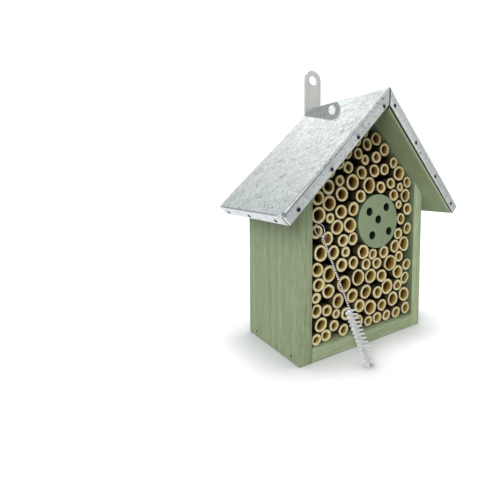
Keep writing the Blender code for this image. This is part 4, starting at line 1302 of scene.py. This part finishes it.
def make_canes():
    """All the canes, each in the place of its tube in the frame."""
    canes = read_canes()
    count = len(canes)
    draw = np.random.default_rng(CANE_SEED)
    tilts, centres = np.zeros((count, 3)), np.zeros((count, 3))
    tilts[:, (0, 2)] = draw.uniform(-CANE_TILT_SHARE, CANE_TILT_SHARE, (count, 2))
    centres[:, (0, 2)] = canes[:, :2]
    reach = np.ones(count)
    for across, up in PITH_PLACE_SHARES:
        place = (across * HALF_WIDTH, up * HALF_WIDTH)
        reach[np.hypot(*(canes[:, :2] - place).T).argmin()] = PITH_DEPTH_SHARE
    guide = carry(
        plain_mesh(centres), centre=centres, outer=canes[:, 2], bore=canes[:, 3], front=canes[:, 4],
        tilt=tilts, seed=draw.uniform(0, CANE_SEED_RANGE, count), reach=reach,
    )
    material = bamboo("dry_bamboo")
    mesh = run_tree(
        canes_tree(), guide, cane_mesh(), material, Back=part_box("tube_bundle_01")[1].y,
        Unevenness=CANE_UNEVEN_SHARE, Bore=BORE_UNEVEN_SHARE, Raggedness=CANE_RAGGED,
    )
    finish_piece("bamboo_canes", mesh, material, nodes_named("tube_bundle"))


def brush_frame():
    """The brush's own frame, with Z up its axis from its tip, and its length."""
    ends = []
    for name, side in (("brush_bristles", -1), ("brush_wire", 1)):
        points = np.array([vert.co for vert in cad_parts[name].data.vertices], float)
        axis = np.linalg.svd(points - points.mean(axis=0), full_matrices=False)[2][0]
        heights = points @ axis * (side if axis[2] > 0 else -side)
        last = points[heights > heights.max() - BRISTLE_THICKNESS]
        ends.append(Vector((last.max(0) + last.min(0)) / 2))
    tip, top = ends
    tip.x += BRUSH_TIP_SHIFT
    top.x += BRUSH_TOP_SHIFT
    axis = (top - tip).normalized()
    across = Vector((0, 1, 0)).cross(axis).normalized()
    turn = Matrix((across, axis.cross(across), axis)).transposed().to_4x4()
    return Matrix.Translation(tip) @ turn, (top - tip).length


def twist_angle(height):
    """How far the wires have turned at a height above the tip: faster above the bristles."""
    head = HEAD_START + HEAD_LENGTH
    return -2 * pi * (min(height, head) / HEAD_TURN + max(height - head, 0) / STEM_TURN)


def make_brush_wires(place, length):
    """Two wires in one left-handed twist, which part at the top into the loop."""
    half_wire = WIRE_WIDTH / 2
    stem_top = length - LOOP_HEIGHT
    steps = round(stem_top / STEM_TURN * TWIST_STEPS)
    one = []
    for number in range(steps + 1):
        height = half_wire + (stem_top - half_wire) * number / steps
        angle = twist_angle(height) - twist_angle(stem_top)
        one.append(Vector((half_wire * cos(angle), half_wire * sin(angle), height)))
    other = [Vector((-point.x, -point.y, point.z)) for point in one]
    half_width, half_height = (LOOP_WIDTH - WIRE_WIDTH) / 2, (LOOP_HEIGHT - WIRE_WIDTH) / 2
    middle = length - half_wire - half_height
    loop = []
    for number in range(LOOP_STEPS + 1):
        turn = (LOOP_OPENING - pi) / 2 + (2 * pi - LOOP_OPENING) * number / LOOP_STEPS
        loop.append(Vector((half_width * cos(turn), 0, middle + half_height * sin(turn))))
    shape = curve_shape(
        [one + loop + other[::-1]], False, WIRE_WIDTH / 100, dimensions="3D", bevel_depth=half_wire,
        bevel_resolution=(WIRE_SIDES - 4) // 2, use_fill_caps=True,
    )
    # Painted light for the wires: bright where they stand out, painted shade where they press together,
    # and a darker tone on the loop
    painted_wire_light = shape.verts.layers.float.new("painted_wire_light")
    for vert in shape.verts:
        reach = hypot(vert.co.x, vert.co.y) / WIRE_WIDTH
        vert[painted_wire_light] = reach if reach < LOOP_FROM_SHARE else LOOP_SHINE
    bmesh.ops.transform(shape, matrix=place, verts=shape.verts)
    material = twisted_steel("bright_wire")
    finish_piece("brush_twist", mesh_of(shape, 60), material, ["brush_wire"], "brush")


def bristle_mesh():
    """A tapered filament along X, of unit length and width."""
    shape = bmesh.new()
    rings = [
        [shape.verts.new((along, width / 2 * c, width / 2 * s)) for c, s in circle(3)]
        for along, width in BRISTLE_RING_SHARES
    ]
    for corners in (*ring_faces(rings, 3), rings[0], rings[-1]):
        shape.faces.new(corners)
    bmesh.ops.recalc_face_normals(shape, faces=shape.faces)
    return mesh_of(shape, 80)


def bristles_tree():
    """Filaments that stand out from a two-start, left-handed helix about Z."""
    sizes = ("Start", "Length", "Turn", "Reach", "Thickness", "Scatter")
    inputs = start_tree("bristles", Count="Int", Seed="Int", **dict.fromkeys(sizes, "Float"))

    def drawn(low, high, shift):
        """A number drawn for each filament."""
        draw_inputs = {2: low, 3: high, "Seed": inputs["Seed"] + shift}
        return add("FunctionNodeRandomValue", draw_inputs, data_type="FLOAT")[1]

    row = add("GeometryNodeMeshLine", {"Count": inputs["Count"], "Offset": (0, 0, 0)})
    number = add("GeometryNodeInputIndex", tree=inputs.tree)
    start = calc("MODULO", number, 2.0) * pi
    height = number / inputs["Count"] * inputs["Length"] + inputs["Start"]
    stray = drawn(-BRISTLE_STRAY_TURN, BRISTLE_STRAY_TURN, 1.0)
    angle = start - height / inputs["Turn"] * (2 * pi) + stray
    above_low_end = ramp(height - inputs["Start"], 0.0, HEAD_LOW_END)
    fan = above_low_end * BRISTLE_LOW_SWEEP - (BRISTLE_LOW_SWEEP + BRISTLE_SWEEP)
    fan += drawn(-BRISTLE_STRAY_SWEEP, BRISTLE_STRAY_SWEEP, 2.0)
    aim = {"X": calc("COSINE", angle), "Y": calc("SINE", angle), "Z": fan}
    way = add("ShaderNodeCombineXYZ", aim)
    root = add("ShaderNodeCombineXYZ", {"Z": height + inputs["Scatter"] * drawn(-1.0, 1.0, 3.0)})
    points = add("GeometryNodeSetPosition", {"Geometry": row, "Position": root})
    turn = add("FunctionNodeAlignRotationToVector", {"Vector": way}, axis="X")
    reach = inputs["Reach"] * drawn(BRISTLE_SHORTEST_SHARE, 1.0, 4.0)
    span = {"X": reach, "Y": inputs["Thickness"], "Z": inputs["Thickness"]}
    size = add("ShaderNodeCombineXYZ", span)
    return end_tree(inputs, real_copies(inputs, points, Rotation=turn, Scale=size))


def make_bristles(place):
    """The brush's nylon filaments."""
    material = clear_nylon("milky_nylon")
    mesh = run_tree(
        bristles_tree(), bpy.data.meshes.new("row"), bristle_mesh(), material,
        Count=BRISTLE_COUNT, Start=HEAD_START, Length=HEAD_LENGTH, Turn=HEAD_TURN, Reach=BRISTLE_REACH,
        Thickness=BRISTLE_THICKNESS, Scatter=BRISTLE_SCATTER, Seed=BRISTLE_SEED,
    )
    mesh.transform(place)
    finish_piece("brush_filaments", mesh, material, ["brush_bristles"], "brush")


def make_brush():
    """The bottle brush, which leans on the front of the canes."""
    place, length = brush_frame()
    make_brush_wires(place, length)
    make_bristles(place)


def make_camera():
    """The camera at the photograph's viewing angle, shifted to its framing."""
    camera = link("camera", set_up(
        bpy.data.cameras.new("camera"),
        sensor_width=SENSOR_MM,
        lens=FOCAL_PIXELS / IMAGE_PIXELS * SENSOR_MM,
        shift_x=(IMAGE_PIXELS / 2 - CENTRE_PIXEL[0]) / IMAGE_PIXELS,
        shift_y=(CENTRE_PIXEL[1] - IMAGE_PIXELS / 2) / IMAGE_PIXELS,
        clip_start=NEAREST_SEEN,
    ))
    place = Matrix.Translation(CAMERA_PLACE)
    turns = ((CAMERA_YAW, "Z"), (CAMERA_PITCH, "X"), (CAMERA_ROLL, "Y"), (pi / 2, "X"))
    for angle, axis in turns:
        place = place @ Matrix.Rotation(angle, 4, axis)
    camera.matrix_world = place
    bpy.context.scene.camera = camera


def seen_directly(tree):
    """1 for what the camera sees, itself or in a gloss or a glass, and 0 for what lights."""
    path = add("ShaderNodeLightPath", tree=tree)
    return largest(path["Is Camera Ray"], path["Is Glossy Ray"], path["Is Transmission Ray"])


def make_sky():
    """White behind everything, at a lower strength as a light."""
    world = bpy.data.worlds.new("sky")
    bpy.context.scene.world = world
    world.use_nodes = True
    strength = seen_directly(world.node_tree) * (1 - SKY_STRENGTH) + SKY_STRENGTH
    feed(world.node_tree.nodes["Background"], {"Color": (1, 1, 1, 1), "Strength": strength})


def make_floor():
    """A pale floor that takes the object's real shadow from the sky and the fill, with a painted contact
    shadow and a faint painted shade round the object, and turns white away from it.
    """
    half = FLOOR_SIZE / 2
    corners = [(-half, -half, 0), (half, -half, 0), (half, half, 0), (-half, half, 0)]
    mesh = plain_mesh(corners, [(0, 1, 2, 3)])
    floor = link("studio_floor", mesh)
    material, place = start_material("pale_floor")
    colour = mix(grains(place, 3, detail=2), toned(FLOOR_COLOUR, 0.985), FLOOR_COLOUR)
    # The glow is lower near the house, so that its real shadow shows there, which also paints a faint
    # shade round it
    away = ramp(length_of(place), FLOOR_NEAR, FLOOR_FAR)
    level = away * (FLOOR_GLOW_FAR - FLOOR_GLOW_NEAR) + FLOOR_GLOW_NEAR
    # Painted contact shadow: the glow dimmed where ambient occlusion finds the object close by
    open_sky = add("ShaderNodeAmbientOcclusion", {"Distance": FLOOR_CONTACT}, place.tree)["AO"]
    painted_contact_shadow = calc("POWER", open_sky, FLOOR_CONTACT_POWER)
    glow = seen_directly(place.tree) * (level * painted_contact_shadow)
    mesh.materials.append(dress(material, colour, 0.9, specular=0.0))
    shader = place.tree.nodes["Principled BSDF"]
    feed(shader, {"Emission Color": (1, 1, 1, 1), "Emission Strength": glow})
    floor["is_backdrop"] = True
    return floor


def make_lamp(name, kind, towards, **settings):
    """A lamp that shines from that direction."""
    lamp = link(name, set_up(bpy.data.lights.new(name, kind), **settings))
    lamp.rotation_euler = towards.to_track_quat("Z", "Y").to_euler()
    return lamp


def make_lights(floor):
    """The key over the roof from behind, which passes over the floor, and a wide soft fill."""
    key = make_lamp("key", "SUN", KEY_FROM, energy=KEY_STRENGTH, angle=KEY_ANGLE)
    unlit = bpy.data.collections.new("unlit_by_key")
    unlit.objects.link(floor)
    key.light_linking.receiver_collection = unlit
    unlit.collection_objects[0].light_linking.link_state = "EXCLUDE"
    towards = FILL_PLACE - (CAD_BOX[0] + CAD_BOX[1]) / 2
    fill = make_lamp("fill", "AREA", towards, energy=FILL_POWER, size=FILL_SIZE)
    fill.location = FILL_PLACE


def main():
    """The studio, then the pieces."""
    bpy.context.scene.view_settings.view_transform = "Standard"
    make_camera()
    make_sky()
    make_lights(make_floor())
    make_timber()
    make_sheet()
    make_fasteners()
    make_strap()
    make_block()
    make_canes()
    make_brush()


main()
boxes = {"cad": CAD_BOX, "visual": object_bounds()}
{name: [list(corner) for corner in box] for name, box in boxes.items()}
